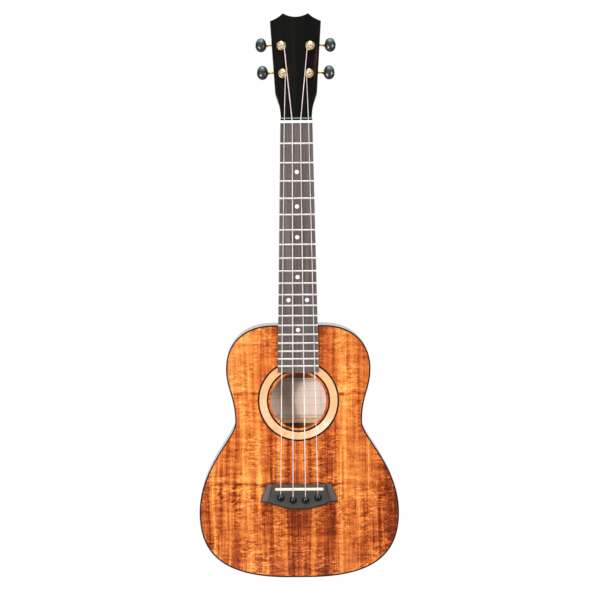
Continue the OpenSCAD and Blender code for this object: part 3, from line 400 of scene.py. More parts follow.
@dataclass(frozen=True)
class Koa(Finish):
    """Lacquered curly wood: streaks along the grain, short curls across it and a matched centre seam.

    Each of heart and bars has a place, a half width and an amount of tone. A spot has a place and a half
    width both across and along, and dusk has the two heights between which it grows. The shares have a
    least value and a gain.
    """

    grain: Grain = Grain.UP_NECK
    matched: bool = True
    shade: float = 0.0
    inner: tuple[float, float, float] | None = None
    stops: Stops = (
        (0.08, srgb(106, 39, 11)),
        (0.3, srgb(164, 69, 25)),
        (0.5, srgb(207, 106, 45)),
        (0.7, srgb(234, 138, 62)),
        (0.92, srgb(246, 180, 94)),
    )
    leaf_shift: float = 6.0
    drift: Layer = Layer(40 * MM, 130 * MM, 1.0, 3.1, 2.0, 7 * MM)
    sway: Layer = Layer(20 * MM, 26 * MM, 1.0, 61.3, 1.0, 6 * MM)
    patch: Layer = Layer(24 * MM, 38 * MM, 1.0, 23.3, 1.0)
    patch_range: Range = (0.34, 0.64)
    streak: Layer = Layer(5.5 * MM, 150 * MM, 1.0, 5.7, 3.0, 1.2)
    bands: tuple[Layer, ...] = (
        Layer(20 * MM, 300 * MM, 1.0, 11.3, 1.0),
        Layer(45 * MM, 70 * MM, 1.0, 41.7, 1.0, 0.3),
        Layer(1.5 * MM, 60 * MM, 1.0, 2.9, 2.0, 0.6),
        Layer(1.3 * MM, 1.7 * MM, 1.0, 33.9, 2.0, 0.6),
    )
    wave: Layer = Layer(30 * MM, 5 * MM, 1.0, 51.3, 2.0, 0.6)
    curls: tuple[Layer, ...] = (
        Layer(8 * MM, 2.6 * MM, 1.0, 17.9, 2.0, 0.9),
        Layer(4 * MM, 1.6 * MM, 1.0, 27.1, 2.0, 0.9),
    )
    curl_share: tuple[float, float] = (0.25, 0.95)
    strong: Range = (-340 * MM, -440 * MM)
    calm: float = 0.76
    heart: tuple[Mark, ...] = (
        (57 * MM, 11 * MM, 0.08),
        (31 * MM, 9 * MM, -0.07),
        (122 * MM, 20 * MM, -0.14),
    )
    bars: tuple[Mark, ...] = (
        (-257 * MM, 3.0 * MM, 0.1),
        (-262 * MM, 1.5 * MM, -0.11),
        (-315 * MM, 3.5 * MM, 0.12),
        (-321 * MM, 1.6 * MM, -0.2),
        (-421 * MM, 3.5 * MM, 0.18),
        (-428.5 * MM, 1.7 * MM, -0.25),
    )
    bar_spread: tuple[float, float] = (60 * MM, 30 * MM)
    bar_share: tuple[float, float] = (0.6, 0.6)
    # the second spot is painted shade: it darkens the lower bout's corner on the +x side
    spots: tuple[Spot, ...] = (
        (111 * MM, 6 * MM, -464 * MM, 36 * MM, -0.12),
        (70 * MM, 38 * MM, -482 * MM, 40 * MM, -0.065),
    )
    dusk: Mark = (-375 * MM, -455 * MM, -0.23)
    dusk_half: float = 42 * MM
    # lean is painted shade: the tone falls across the body towards +x, one side darker than the other
    lean: float = -0.9
    seam_half: float = 0.3 * MM
    seam_step: float = 0.1
    pore: Layer = Layer(0.5 * MM, 6 * MM, 1.0, 31.0, 1.0, 0.5)
    pore_range: Range = (0.65, 0.75)
    pore_tint: Colour = srgb(92, 36, 16)
    raw: Colour = srgb(176, 126, 86)
    raw_depth: Range = (1.6 * MM, 1.9 * MM)
    raw_share: float = 0.85
    rough: float = 0.3
    rough_swing: float = 0.2
    specular: float = 0.12
    coat: float = 0.9
    coat_rough: float = 0.06

    def figure(self, straight: Place, wavy: Place, streak: Value, patch: Value) -> Value:
        """Adds up the noises: streaks and bands along the grain, waves and patchy curls across it.

        Args:
            straight: coordinates on the leaf.
            wavy: the same with a height that sways.
            streak: the streaks' noise about 0.
            patch: 1 where the curls are strongest.

        Returns:
            The figure about 0, calmer up the body than at its tail.
        """
        total = streak * self.streak.weight + self.wave.swing(wavy)
        for layer in self.bands:
            total = total + layer.swing(straight)
        least, gain = self.curl_share
        share = least + patch * gain
        for layer in self.curls:
            total = total + layer.swing(wavy) * share
        strong = straight[1].between(*self.strong)
        return total * (self.calm + strong * (1 - self.calm))

    def marks(self, across: Value, straight: Place, wavy: Place, patch: Value) -> Value:
        """Adds up what lies at set places of the two matched leaves.

        Broad bands at set distances from the seam and bars at set heights mark both leaves, spots mark
        one, the tone sinks along the seam near the tail, darkens from leaf to leaf as painted shade and steps
        at the seam. The second spot is painted shade too.

        Args:
            across: distance from the seam, with its sign.
            straight: coordinates on the leaf.
            wavy: the same with a height that sways.
            patch: 1 where the curls are strongest.

        Returns:
            The amount of tone to add.
        """
        leaf, along, _ = straight
        # painted shade: darker towards +x by lean
        total = across * self.lean
        for place, width, amount in self.heart:
            total = total + leaf.hump(place, width) * amount
        least, gain = self.bar_share
        crossed = leaf.hump(*self.bar_spread) * (least + patch * gain)
        for place, width, amount in self.bars:
            total = total + wavy[1].hump(place, width) * crossed * amount
        # the second spot is painted shade
        for place, width, height, length, amount in self.spots:
            total = total + across.hump(place, width) * along.hump(height, length) * amount
        start, end, amount = self.dusk
        total = total + along.between(start, end) * leaf.hump(0.0, self.dusk_half) * amount
        step = across.between(-self.seam_half, self.seam_half) - 0.5
        return total + step * leaf.hump(0.0, self.dusk_half / 2) * self.seam_step

    def paint(self, sheet: Sheet) -> None:
        """Turns the sum of figure and marks into colour by a ramp, with dark pores in it.

        The wood is raw on the inner face, by the distance (inner[0] + inner[1] * z - y) * inner[2] from
        the outer one.

        Args:
            sheet: the sheet to fill.
        """
        across, along, through = sheet.grain(self.grain)
        own = across * self.leaf_shift
        leaf = abs(across) if self.matched else across
        leaf = leaf + self.drift.swing((leaf, along, own))
        straight = (leaf, along, own)
        wavy = (leaf, along + self.sway.swing(straight), own)
        streak = self.streak.noise(straight) - 0.5
        patch = self.patch.noise(straight).between(*self.patch_range)
        tone = 0.5 + self.shade + self.figure(straight, wavy, streak, patch)
        if self.matched:
            tone = tone + self.marks(across, straight, wavy, patch)
        pore = self.pore.noise(straight).between(*self.pore_range)
        colour = sheet.blend(sheet.ramp(tone, self.stops), self.pore_tint, pore * self.pore.weight)
        if self.inner:
            start, slope, side = self.inner
            depth = (start + along * slope - through) * side
            colour = sheet.blend(colour, self.raw, depth.between(*self.raw_depth) * self.raw_share)
        sheet.surface(
            Base_Color=colour,
            Roughness=self.rough + streak * self.rough_swing,
            Specular_IOR_Level=self.specular,
            Coat_Weight=self.coat,
            Coat_Roughness=self.coat_rough,
        )


@dataclass(frozen=True)
class Timber(Finish):
    """Straight-grained wood: dark and light growth lines, open pores and a chosen gloss.

    The sizes of bands and lines count in rings across the grain and in lengths along it.
    """

    light: Colour
    dark: Colour
    grain: Grain = Grain.UP_NECK
    ring: float = 4 * MM
    length: float = 160 * MM
    contrast: float = 1.0
    pores: float = 0.4
    rough: float = 0.5
    rough_swing: float = 0.2
    coat: float = 0.0
    coat_rough: float = 0.08
    specular: float = 0.4
    relief: float = 0.05 * MM
    relief_strength: float = 0.6
    line_relief: float = 0.3
    pore_relief: float = 0.5
    bands: Layer = Layer(3.0, 2.0, 3.0, 4.4, 2.0, 1.4)
    lines: Layer = Layer(0.5, 1.0, 0.5, 9.2, 3.0, 1.5)
    pore: Layer = Layer(0.35 * MM, 5 * MM, 0.35 * MM, 14.1, 1.0)
    pore_range: Range = (0.6, 0.72)
    pore_dark: float = 0.35

    def tinted(self, sheet: Sheet, colour: Value) -> Value:
        """Leaves the colour as it is; a finish with streaked places or painted light and shade changes it."""
        return colour

    def paint(self, sheet: Sheet) -> None:
        """Chooses the colour by bands and fine lines along the grain, and sinks dark pores into it.

        Args:
            sheet: the sheet to fill.
        """
        at = sheet.grain(self.grain)
        fine = self.lines.times(self.ring, self.length).noise(at) - 0.5
        pore = self.pore.noise(at).between(*self.pore_range)
        broad = self.bands.times(self.ring, self.length).swing(at)
        tone = 0.5 + (broad + fine * self.lines.weight) * self.contrast
        colour = self.tinted(sheet, sheet.blend(self.dark, self.light, tone.held()))
        deep = tuple(part * self.pore_dark for part in self.dark)
        height = 0.5 + fine * self.line_relief - pore * self.pore_relief
        sheet.surface(
            Base_Color=sheet.blend(colour, deep, pore * self.pores),
            Roughness=self.rough + fine * self.rough_swing,
            Normal=sheet.bump(height, self.relief, self.relief_strength),
            Coat_Weight=self.coat,
            Coat_Roughness=self.coat_rough,
            Specular_IOR_Level=self.specular,
        )


@dataclass(frozen=True)
class BridgeTimber(Timber):
    """Bridge wood with painted light on the two wings and painted shade on the faces that turn towards the tail.
    """

    # painted light: the wings are drawn paler than the block
    wing: Colour = srgb(118, 103, 96)
    wing_light_share: float = 0.38
    # painted shade: rim is the dark colour of faces that turn down, under the bridge's lower edge
    rim: Colour = srgb(20, 16, 14)
    underside_shade_range: Range = (-0.5, -0.06)
    edge: tuple[float, float] = (0.0, 0.0)
    spread: float = 1.7 * MM

    def tinted(self, sheet: Sheet, colour: Value) -> Value:
        """Blends towards the wing's colour, a painted light, past the block's half width, edge[0] + edge[1] * z.

        Faces that turn down, by the z part of their normal, keep the rim's colour, a painted shade.

        Args:
            sheet: the sheet to add to.
            colour: the wood's own colour.

        Returns:
            The new colour.
        """
        x, _, z = sheet.axes()
        past = (abs(x) - (self.edge[0] + z * self.edge[1])).between(0.0, self.spread)
        _, _, facing = sheet.split(sheet.node("TexCoord", out="Normal"))
        # painted light on the wings
        painted_wing_light = sheet.blend(colour, self.wing, past * self.wing_light_share)
        # painted shade on faces that turn down
        return sheet.blend(self.rim, painted_wing_light, facing.between(*self.underside_shade_range))


@dataclass(frozen=True)
class StreakedTimber(Timber):
    """Dark wood with a few brown streaks, each given by x, z, half width, half length and strength."""

    streak: Colour = srgb(118, 66, 34)
    streaks: tuple[Spot, ...] = ()
    broken: Layer = Layer(1.1 * MM, 20 * MM, 16 * MM, 31.7, 2.0)
    broken_range: Range = (0.3, 0.65)

    def tinted(self, sheet: Sheet, colour: Value) -> Value:
        """Blends each streak in as a soft spot that noise breaks up.

        Args:
            sheet: the sheet to add to.
            colour: the wood's own colour.

        Returns:
            The new colour.
        """
        x, y, z = sheet.axes()
        broken = self.broken.noise((x, y, z)).between(*self.broken_range)
        for place, height, half_w, half_l, amount in self.streaks:
            spot = x.hump(place, half_w) * z.hump(height, half_l)
            colour = sheet.blend(colour, self.streak, spot * broken * amount)
        return colour


@dataclass(frozen=True)
class Rosette(Finish):
    """Pale lacquered ring of curly wood, laid in segments round the soundhole.

    The noises read the turn in radians, the distance from the middle and the segment's number.
    """

    stops: Stops = (
        (0.1, srgb(240, 166, 112)),
        (0.5, srgb(246, 188, 146)),
        (0.95, srgb(251, 222, 198)),
    )
    base: float = 0.2
    own: Layer = Layer(0.37, 0.53, 0.71, 6.6, 0.0, 0.3)
    glow: Layer = Layer(0.9, 30 * MM, 4.0, 18.3, 1.0, 0.5)
    curl: Layer = Layer(0.07, 5 * MM, 1.0, 12.5, 2.0, 0.8)
    fleck: Layer = Layer(0.4, 0.9 * MM, 1.0, 21.0, 2.0, 0.5)
    pale: Mark = (2.48, 0.4, 0.42)
    fade: float = 0.17
    segments: int = 7
    segment_shift: float = 0.37
    joint: Colour = srgb(190, 130, 80)
    joint_range: Range = (0.488, 0.496)
    joint_share: float = 0.15
    rough: float = 0.35
    rough_swing: float = 0.1
    coat: float = 0.8
    coat_rough: float = 0.06

    def paint(self, sheet: Sheet) -> None:
        """Gives each segment its own tone, with curls across the ring and thin joints.

        The tone falls towards the neck by fade * cos(turn), and one place of the ring, at the angle
        pale[0], is paler than the rest.

        Args:
            sheet: the sheet to fill.
        """
        reach, turn, _ = sheet.grain(Grain.ROUND_HOLE)
        count = turn * (self.segments / math.tau) + self.segment_shift
        segment = sheet.math("FLOOR", count)
        at = (turn, reach, segment)
        curl = self.curl.noise(at) - 0.5
        tone = self.base + self.own.swing((segment, segment, segment)) + curl * self.curl.weight
        tone = tone + self.glow.swing(at) + self.fleck.swing(at) - sheet.math("COSINE", turn) * self.fade
        angle, width, amount = self.pale
        colour = sheet.ramp(tone + turn.hump(angle, width) * amount, self.stops)
        joint = abs(count - segment - 0.5).between(*self.joint_range)
        sheet.surface(
            Base_Color=sheet.blend(colour, self.joint, joint * self.joint_share),
            Roughness=self.rough + curl * self.rough_swing,
            Coat_Weight=self.coat,
            Coat_Roughness=self.coat_rough,
        )


@dataclass(frozen=True)
class Gloss(Finish):
    """Polished plastic, horn or bone: one colour with a faint cloudiness and worn patches of gloss.

    The clouds count in units of size.
    """

    base: Colour
    cloud: Colour
    size: float = 6 * MM
    rough: float = 0.2
    coat: float = 0.5
    specular: float = 0.5
    coat_rough: float = 0.05
    wear: Layer = Layer(1.2 * MM, 1.2 * MM, 1.2 * MM, 7.7, 2.0, 0.4)
    clouds: Layer = Layer(1.0, 1.0, 1.0, 2.2, 3.0)
    cloud_range: Range = (0.35, 0.7)

    def paint(self, sheet: Sheet) -> None:
        """Mixes the two colours by noise and varies the roughness.

        Args:
            sheet: the sheet to fill.
        """
        at = sheet.axes()
        cloud = self.clouds.times(self.size, self.size).noise(at)
        sheet.surface(
            Base_Color=sheet.blend(self.base, self.cloud, cloud.between(*self.cloud_range)),
            Roughness=self.rough * (1 + self.wear.swing(at)),
            Coat_Weight=self.coat,
            Coat_Roughness=self.coat_rough,
            Specular_IOR_Level=self.specular,
        )


@dataclass(frozen=True)
class Metal(Finish):
    """Plated or drawn metal with fine polishing marks."""

    base: Colour
    shade: Colour
    rough: float = 0.2
    metallic: float = 1.0
    marks: Layer = Layer(0.25 * MM, 0.25 * MM, 2 * MM, 3.3, 3.0)
    haze: Layer = Layer(4 * MM, 4 * MM, 4 * MM, 8.8, 2.0)
    haze_range: Range = (0.3, 0.6)
    rough_swing: float = 0.6
    relief: float = 0.01 * MM
    relief_strength: float = 0.4

    def paint(self, sheet: Sheet) -> None:
        """Varies the tint by a haze, and the roughness and the relief by fine marks.

        Args:
            sheet: the sheet to fill.
        """
        at = sheet.axes()
        marks = self.marks.noise(at)
        haze = self.haze.noise(at).between(*self.haze_range)
        sheet.surface(
            Base_Color=sheet.blend(self.shade, self.base, haze),
            Metallic=self.metallic,
            Roughness=self.rough * (1 + (marks - 0.5) * self.rough_swing),
            Normal=sheet.bump(marks, self.relief, self.relief_strength),
        )


@dataclass(frozen=True)
class Nylon(Finish):
    """Clear-pale string: tint that varies a little along the string, with a soft sheen."""

    base: Colour = srgb(246, 228, 224)
    shade: Colour = srgb(222, 200, 198)
    tint: Layer = Layer(4 * MM, 4 * MM, 30 * MM, 5.1, 2.0)
    tint_range: Range = (0.3, 0.65)
    rough: float = 0.28
    rough_swing: float = 0.1
    specular: float = 0.5

    def paint(self, sheet: Sheet) -> None:
        """Moves between the two tints by slow noise along the string.

        Args:
            sheet: the sheet to fill.
        """
        tint = self.tint.noise(sheet.axes())
        sheet.surface(
            Base_Color=sheet.blend(self.shade, self.base, tint.between(*self.tint_range)),
            Roughness=self.rough + (tint - 0.5) * self.rough_swing,
            Specular_IOR_Level=self.specular,
        )


@dataclass(frozen=True)
class Paper(Finish):
    """Aged label paper with a plain printed frame and ruled lines."""

    base: Colour = srgb(255, 232, 214)
    age: Colour = srgb(252, 220, 196)
    age_range: Range = (0.4, 0.75)
    ink: Colour = srgb(84, 62, 50)
    ink_share: float = 0.8
    fibre: Layer = Layer(0.8 * MM, 5 * MM, 0.8 * MM, 1.7, 3.0, 0.3)
    stain: Layer = Layer(25 * MM, 25 * MM, 25 * MM, 6.1, 2.0, 0.7)
    rough: float = 0.85
    relief: float = 0.04 * MM
    relief_strength: float = 0.5
    frame_inset: float = 2.2 * MM
    frame_gap: float = 1.4 * MM
    thick_half: Range = (0.22 * MM, 0.352 * MM)
    thin_half: Range = (0.11 * MM, 0.198 * MM)
    rule_step: float = 8.5 * MM
    rule_half: Range = (0.014, 0.03)
    rule_inset: float = 6 * MM
    rule_ease: float = 0.1 * MM
    rule_share: float = 0.6

    def lines(self, x: Value, z: Value) -> Value:
        """Draws two frames at set distances inside the border and ruled lines inside them.

        Args:
            x, z: coordinates across and up the label.

        Returns:
            1 on a line and 0 beside it, with the ruled lines fainter.
        """
        low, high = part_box("label")
        up = z - (low.z + high.z) / 2
        reach_x = (high.x - low.x) / 2 - self.frame_inset
        reach_z = (high.z - low.z) / 2 - self.frame_inset
        outside = (abs(x) - reach_x).most(abs(up) - reach_z)
        thick = 1 - abs(outside).between(*self.thick_half)
        thin = 1 - abs(outside + self.frame_gap).between(*self.thin_half)
        step = up / self.rule_step
        rule = 1 - abs(step - step.rounded()).between(*self.rule_half)
        inside = 1 - (outside + self.rule_inset).between(-self.rule_ease, self.rule_ease)
        return thick.most(thin).most(rule * inside * self.rule_share)

    def paint(self, sheet: Sheet) -> None:
        """Tints the paper by fibres and stains, and prints the lines.

        Args:
            sheet: the sheet to fill.
        """
        at = sheet.axes()
        fibre = self.fibre.noise(at)
        aged = self.stain.noise(at) * self.stain.weight + fibre * self.fibre.weight
        colour = sheet.blend(self.base, self.age, aged.between(*self.age_range))
        ink = self.lines(at[0], at[2]) * self.ink_share
        sheet.surface(
            Base_Color=sheet.blend(colour, self.ink, ink),
            Roughness=self.rough,
            Normal=sheet.bump(fibre, self.relief, self.relief_strength),
        )


@dataclass(frozen=True)
class FloorWhite(Finish):
    """White floor that keeps a shadow near its middle and is plain white further out."""

    shadow_r: Range = (0.7, 1.3)
    shadow_share: float = 0.2
    gloss_light: float = 0.3
    matt: float = 0.92

    def paint(self, sheet: Sheet) -> None:
        """Mixes a matt white with a glow, by the kind of ray and the distance from the middle.

        Args:
            sheet: the sheet to fill.
        """
        x, y, _ = sheet.axes()
        far = (x * x + y * y).root().between(*self.shadow_r)
        camera, through, gloss = sheet.rays()
        seen = camera.most(through) * (1 - self.shadow_share * (1 - far))
        strength = 1 - gloss * (1 - self.gloss_light)
        matt = sheet.node("BsdfDiffuse", {"Color": (self.matt, self.matt, self.matt, 1.0)})
        glow = sheet.node("Emission", {"Color": (*WHITE, 1.0), "Strength": strength})
        both = sheet.node("MixShader", {0: seen.most(gloss), 1: matt, 2: glow})
        sheet.node("OutputMaterial", {"Surface": both})


KOA_TOP = Koa("koa_top", inner=(0.0, 0.0, -1.0))
KOA_RIB = Koa("koa_rib", Grain.ALONG_RIB, matched=False, shade=-0.03)
MAHOGANY = Timber("mahogany", srgb(150, 82, 48), srgb(92, 44, 26), pores=0.5, rough=0.42, coat=0.25)
HEAD_WOOD = replace(MAHOGANY, name="head_wood", grain=Grain.UP_HEAD)
BLOCK_WOOD = Timber("block_wood", srgb(176, 112, 74), srgb(126, 72, 44), rough=0.7)
SPRUCE = Timber(
    "spruce", srgb(252, 222, 166), srgb(236, 190, 128), Grain.ACROSS, 2 * MM, pores=0.0, rough=0.65
)
EBONY = StreakedTimber(
    "ebony",
    srgb(23, 20, 17),
    srgb(8, 8, 8),
    Grain.UP_HEAD,
    5 * MM,
    contrast=1.2,
    pores=0.2,
    rough=0.34,
    specular=0.08,
    streaks=(
        (24.3 * MM, 79 * MM, 0.9 * MM, 9 * MM, 0.42),
        (22.4 * MM, 64 * MM, 0.8 * MM, 10 * MM, 0.25),
        (-7.5 * MM, 52 * MM, 1.3 * MM, 15 * MM, 0.14),
    ),
)
BOARD_WOOD = Timber(
    "board_wood", srgb(108, 96, 93), srgb(78, 68, 66), ring=2.4 * MM, length=90 * MM, contrast=1.5, pores=0.7
)
ROSETTE = Rosette("rosette_maple")
BINDING = Gloss("binding", srgb(13, 9, 8), srgb(20, 13, 11), rough=0.35, coat=0.1, specular=0.25)
BONE = Gloss("bone", srgb(255, 253, 246), srgb(252, 246, 232), 9 * MM, 0.35, 0.3)
SADDLE_BONE = Gloss("saddle_bone", srgb(252, 232, 206), srgb(248, 222, 192), 9 * MM, 0.4, 0.2)
PEARL = Gloss("pearl", srgb(250, 250, 248), srgb(222, 226, 230), 2 * MM, 0.25, 0.4)
KNOB_BLACK = Gloss("knob_black", srgb(26, 26, 28), srgb(36, 36, 38), 8 * MM, 0.4, 0.9, 0.5, 0.2)
PIN_BLACK = Gloss("pin_black", srgb(6, 6, 7), srgb(10, 10, 11), 3 * MM, 0.14, 0.4, 0.4)
# painted reflection: a pale teal strip standing in for light off the head veneer's lower bevel
PAINTED_NUT_REFLECTION = Gloss("painted_nut_reflection", srgb(146, 170, 166), srgb(118, 144, 142), 5 * MM, 0.3, 0.5)
NYLON = Nylon("nylon")
GOLD = Metal("gold", srgb(246, 220, 164), srgb(230, 192, 118), 0.28, 0.75)
GOLD_PLATE = Metal("gold_plate", srgb(240, 204, 118), srgb(212, 168, 84), 0.26)
BRASS = Metal("brass", srgb(224, 186, 104), srgb(190, 146, 72), 0.32)
NICKEL = Metal("nickel", srgb(246, 232, 218), srgb(232, 216, 202), 0.34, 0.55)
STEEL = Metal("steel", srgb(196, 196, 200), srgb(160, 160, 166), 0.35)
PAPER = Paper("paper")
FLOOR_WHITE = FloorWhite("floor_white")


# Meshes


def add_object(name: str, data: bpy.types.ID) -> bpy.types.Object:
    """Puts a mesh, a lamp or a camera into the scene.

    Args:
        name: the object's name.
        data: what it shows.

    Returns:
        The new object, at the origin.
    """
    made = bpy.data.objects.new(name, data)
    bpy.context.scene.collection.objects.link(made)
    return made


def signed_volume(points: Array, faces: list[Array]) -> float:
    """Volume inside a mesh: a sixth of the sum of a . (b x c) over fans of triangles.

    Args:
        points: places, one row each.
        faces: arrays of faces with equal corner counts.

    Returns:
        A positive volume where the faces point outwards.
    """
    total = 0.0
    for corners in faces:
        a = points[corners[:, :1]]
        b = points[corners[:, 1:-1]]
        c = points[corners[:, 2:]]
        total += float(np.sum(a * np.cross(b, c))) / 6
    return total


def mesh_object(
    name: str, points: Array, faces: list[Array], lengths: Array | None = None
) -> bpy.types.Object:
    """Makes a mesh whose faces point outwards, with doubles merged and smooth shading.

    Args:
        name: the piece's name.
        points: places, one row each.
        faces: arrays of faces with equal corner counts.
        lengths: a map of lengths for each point, for grain that follows the piece.

    Returns:
        The new object, at the origin.
    """
    turned = [part[:, ::-1] for part in faces] if signed_volume(points, faces) < 0 else faces
    mesh = bpy.data.meshes.new(name)
    mesh.from_pydata(points.tolist(), [], [row for part in turned for row in part.tolist()])
    if lengths is not None:
        corner = np.zeros(len(mesh.loops), np.int32)
        mesh.loops.foreach_get("vertex_index", corner)
        layer = mesh.uv_layers.new(name="lengths")
        layer.data.foreach_set("uv", lengths[corner].astype(np.float32).ravel())
    work = bmesh.new()
    work.from_mesh(mesh)
    bmesh.ops.remove_doubles(work, verts=work.verts, dist=MERGE_REACH)
    work.to_mesh(mesh)
    work.free()
    mesh.shade_smooth()
    mesh.set_sharp_from_angle(angle=SHARP_ANGLE)
    return add_object(name, mesh)


def quads(grid: Array) -> Array:
    """Faces between the points of a grid of numbers: (i, j), (i + 1, j), (i + 1, j + 1), (i, j + 1)."""
    return np.stack([grid[:-1, :-1], grid[1:, :-1], grid[1:, 1:], grid[:-1, 1:]], axis=-1).reshape(-1, 4)


def shell(
    name: str, rings: Array, loop: bool = False, capped: bool = True, lengths: Array | None = None
) -> bpy.types.Object:
    """Skins a row of closed rings with quads: a face joins points j and j + 1 of rings i and i + 1.

    Args:
        name: the piece's name.
        rings: places as rings, points, xyz.
        loop: joins the last ring to the first.
        capped: closes the first and last rings with one face each.
        lengths: a map of lengths as rings, points, uv.

    Returns:
        The new object.
    """
    count, size = rings.shape[:2]
    index = np.arange(count * size).reshape(count, size)
    rows = np.vstack([index, index[:1]]) if loop else index
    faces = [quads(np.hstack([rows, rows[:, :1]]))]
    if capped and not loop:
        faces += [index[:1], index[-1:, ::-1]]
    flat = None if lengths is None else lengths.reshape(-1, 2)
    return mesh_object(name, rings.reshape(-1, 3), faces, flat)


def pillow(name: str, top: Array, base: float) -> bpy.types.Object:
    """Closes a grid whose border lies at depth base with a flat underside on the same border.

    Args:
        name: the piece's name.
        top: places as rows, columns, xyz.
        base: depth y of the underside.

    Returns:
        The new object.
    """
    rows, cols = top.shape[:2]
    over = np.arange(rows * cols).reshape(rows, cols)
    under = over.copy()
    under[1:-1, 1:-1] = rows * cols + np.arange((rows - 2) * (cols - 2)).reshape(rows - 2, cols - 2)
    inner = top[1:-1, 1:-1].reshape(-1, 3).copy()
    inner[:, 1] = base
    points = np.vstack([top.reshape(-1, 3), inner])
    return mesh_object(name, points, [quads(over), quads(under)[:, ::-1]])


def oval(turn: Array, radii: tuple[float, float], power: float) -> Array:
    """Points of a rounded oval: (a |cos t|^(2/p), b |sin t|^(2/p)) with the signs kept."""
    pair = places(np.cos(turn), np.sin(turn))
    return np.sign(pair) * np.abs(pair) ** (2 / power) * np.array(radii)


def circle(sides: int, radii: tuple[float, float] = (1.0, 1.0), power: float = 2.0) -> Array:
    """A closed ring on an oval, one row for each side; a power over 2 makes it squarer."""
    return oval(np.arange(sides) * math.tau / sides, radii, power)


def lathe(name: str, profile: Array, centre: Array, sides: int = 40) -> bpy.types.Object:
    """Turns a profile about a line along -Y: (x - r sin t, y - h, z + r cos t).

    Args:
        name: the piece's name.
        profile: radius and height, one row each; a radius of 0 closes an end.
        centre: a point on the line, at height 0.
        sides: points round the line.

    Returns:
        The new object.
    """
    radius, height = profile[:, :1], profile[:, 1:]
    along, aside = circle(sides).T
    rings = places(centre[0] - radius * aside, centre[1] - height, centre[2] + radius * along)
    return shell(name, rings, capped=False)


def tube(name: str, path: Array, radii: Array, sides: int = 12) -> bpy.types.Object:
    """Carries a circle along a path; the side direction is square to the path and to a slanted reference.

    Args:
        name: the piece's name.
        path: centre line, one row for each ring.
        radii: the radius at each ring.
        sides: points round the tube.

    Returns:
        The new object.
    """
    steps = unit(np.diff(path, axis=0))
    way = unit(np.vstack([steps[:1], steps[:-1] + steps[1:], steps[-1:]]))
    side = unit(np.cross(way, SLANT))
    up = np.cross(way, side)
    ring = circle(sides)
    spread = ring[None, :, :1] * side[:, None] + ring[None, :, 1:] * up[:, None]
    return shell(name, path[:, None] + radii[:, None, None] * spread)


# Placing pieces


def dress(finish: Finish, *nodes: str) -> None:
    """Gives CAD nodes their finish.

    Args:
        finish: the finish.
        nodes: the nodes' names.
    """
    for node in nodes:
        data = frame["nodes"][node].data
        data.materials.clear()
        data.materials.append(finish.material())
        LOG.info("finished %s as %s", node, finish.name)


def fit(piece: bpy.types.Object, finish: Finish, slot: str, *nodes: str, body: str = ROOT) -> None:
    """Finishes a new piece, lets it ride on a body and hides the nodes that it stands for.

    Args:
        piece: the new object.
        finish: its finish.
        slot: the record's material slot; not used.
        nodes: the CAD nodes that it replaces.
        body: the body that it moves with.
    """
    piece.data.materials.append(finish.material())
    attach(piece, body)
    if nodes:
        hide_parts(*nodes)
    LOG.info("built %s on %s", piece.name, body)


# Sub-assemblies


@dataclass(frozen=True)
class Soundhole:
    """Place and radius of the soundhole."""

    centre: float
    radius: float

    @staticmethod
    def from_frame() -> "Soundhole":
        """Reads the soundhole's mount."""
        mount = next(m for m in frame["record"]["mounts"] if m["name"] == "soundhole")
        return Soundhole(mount["pos_m"][2], mount["dims"]["r_mm"] * MM)


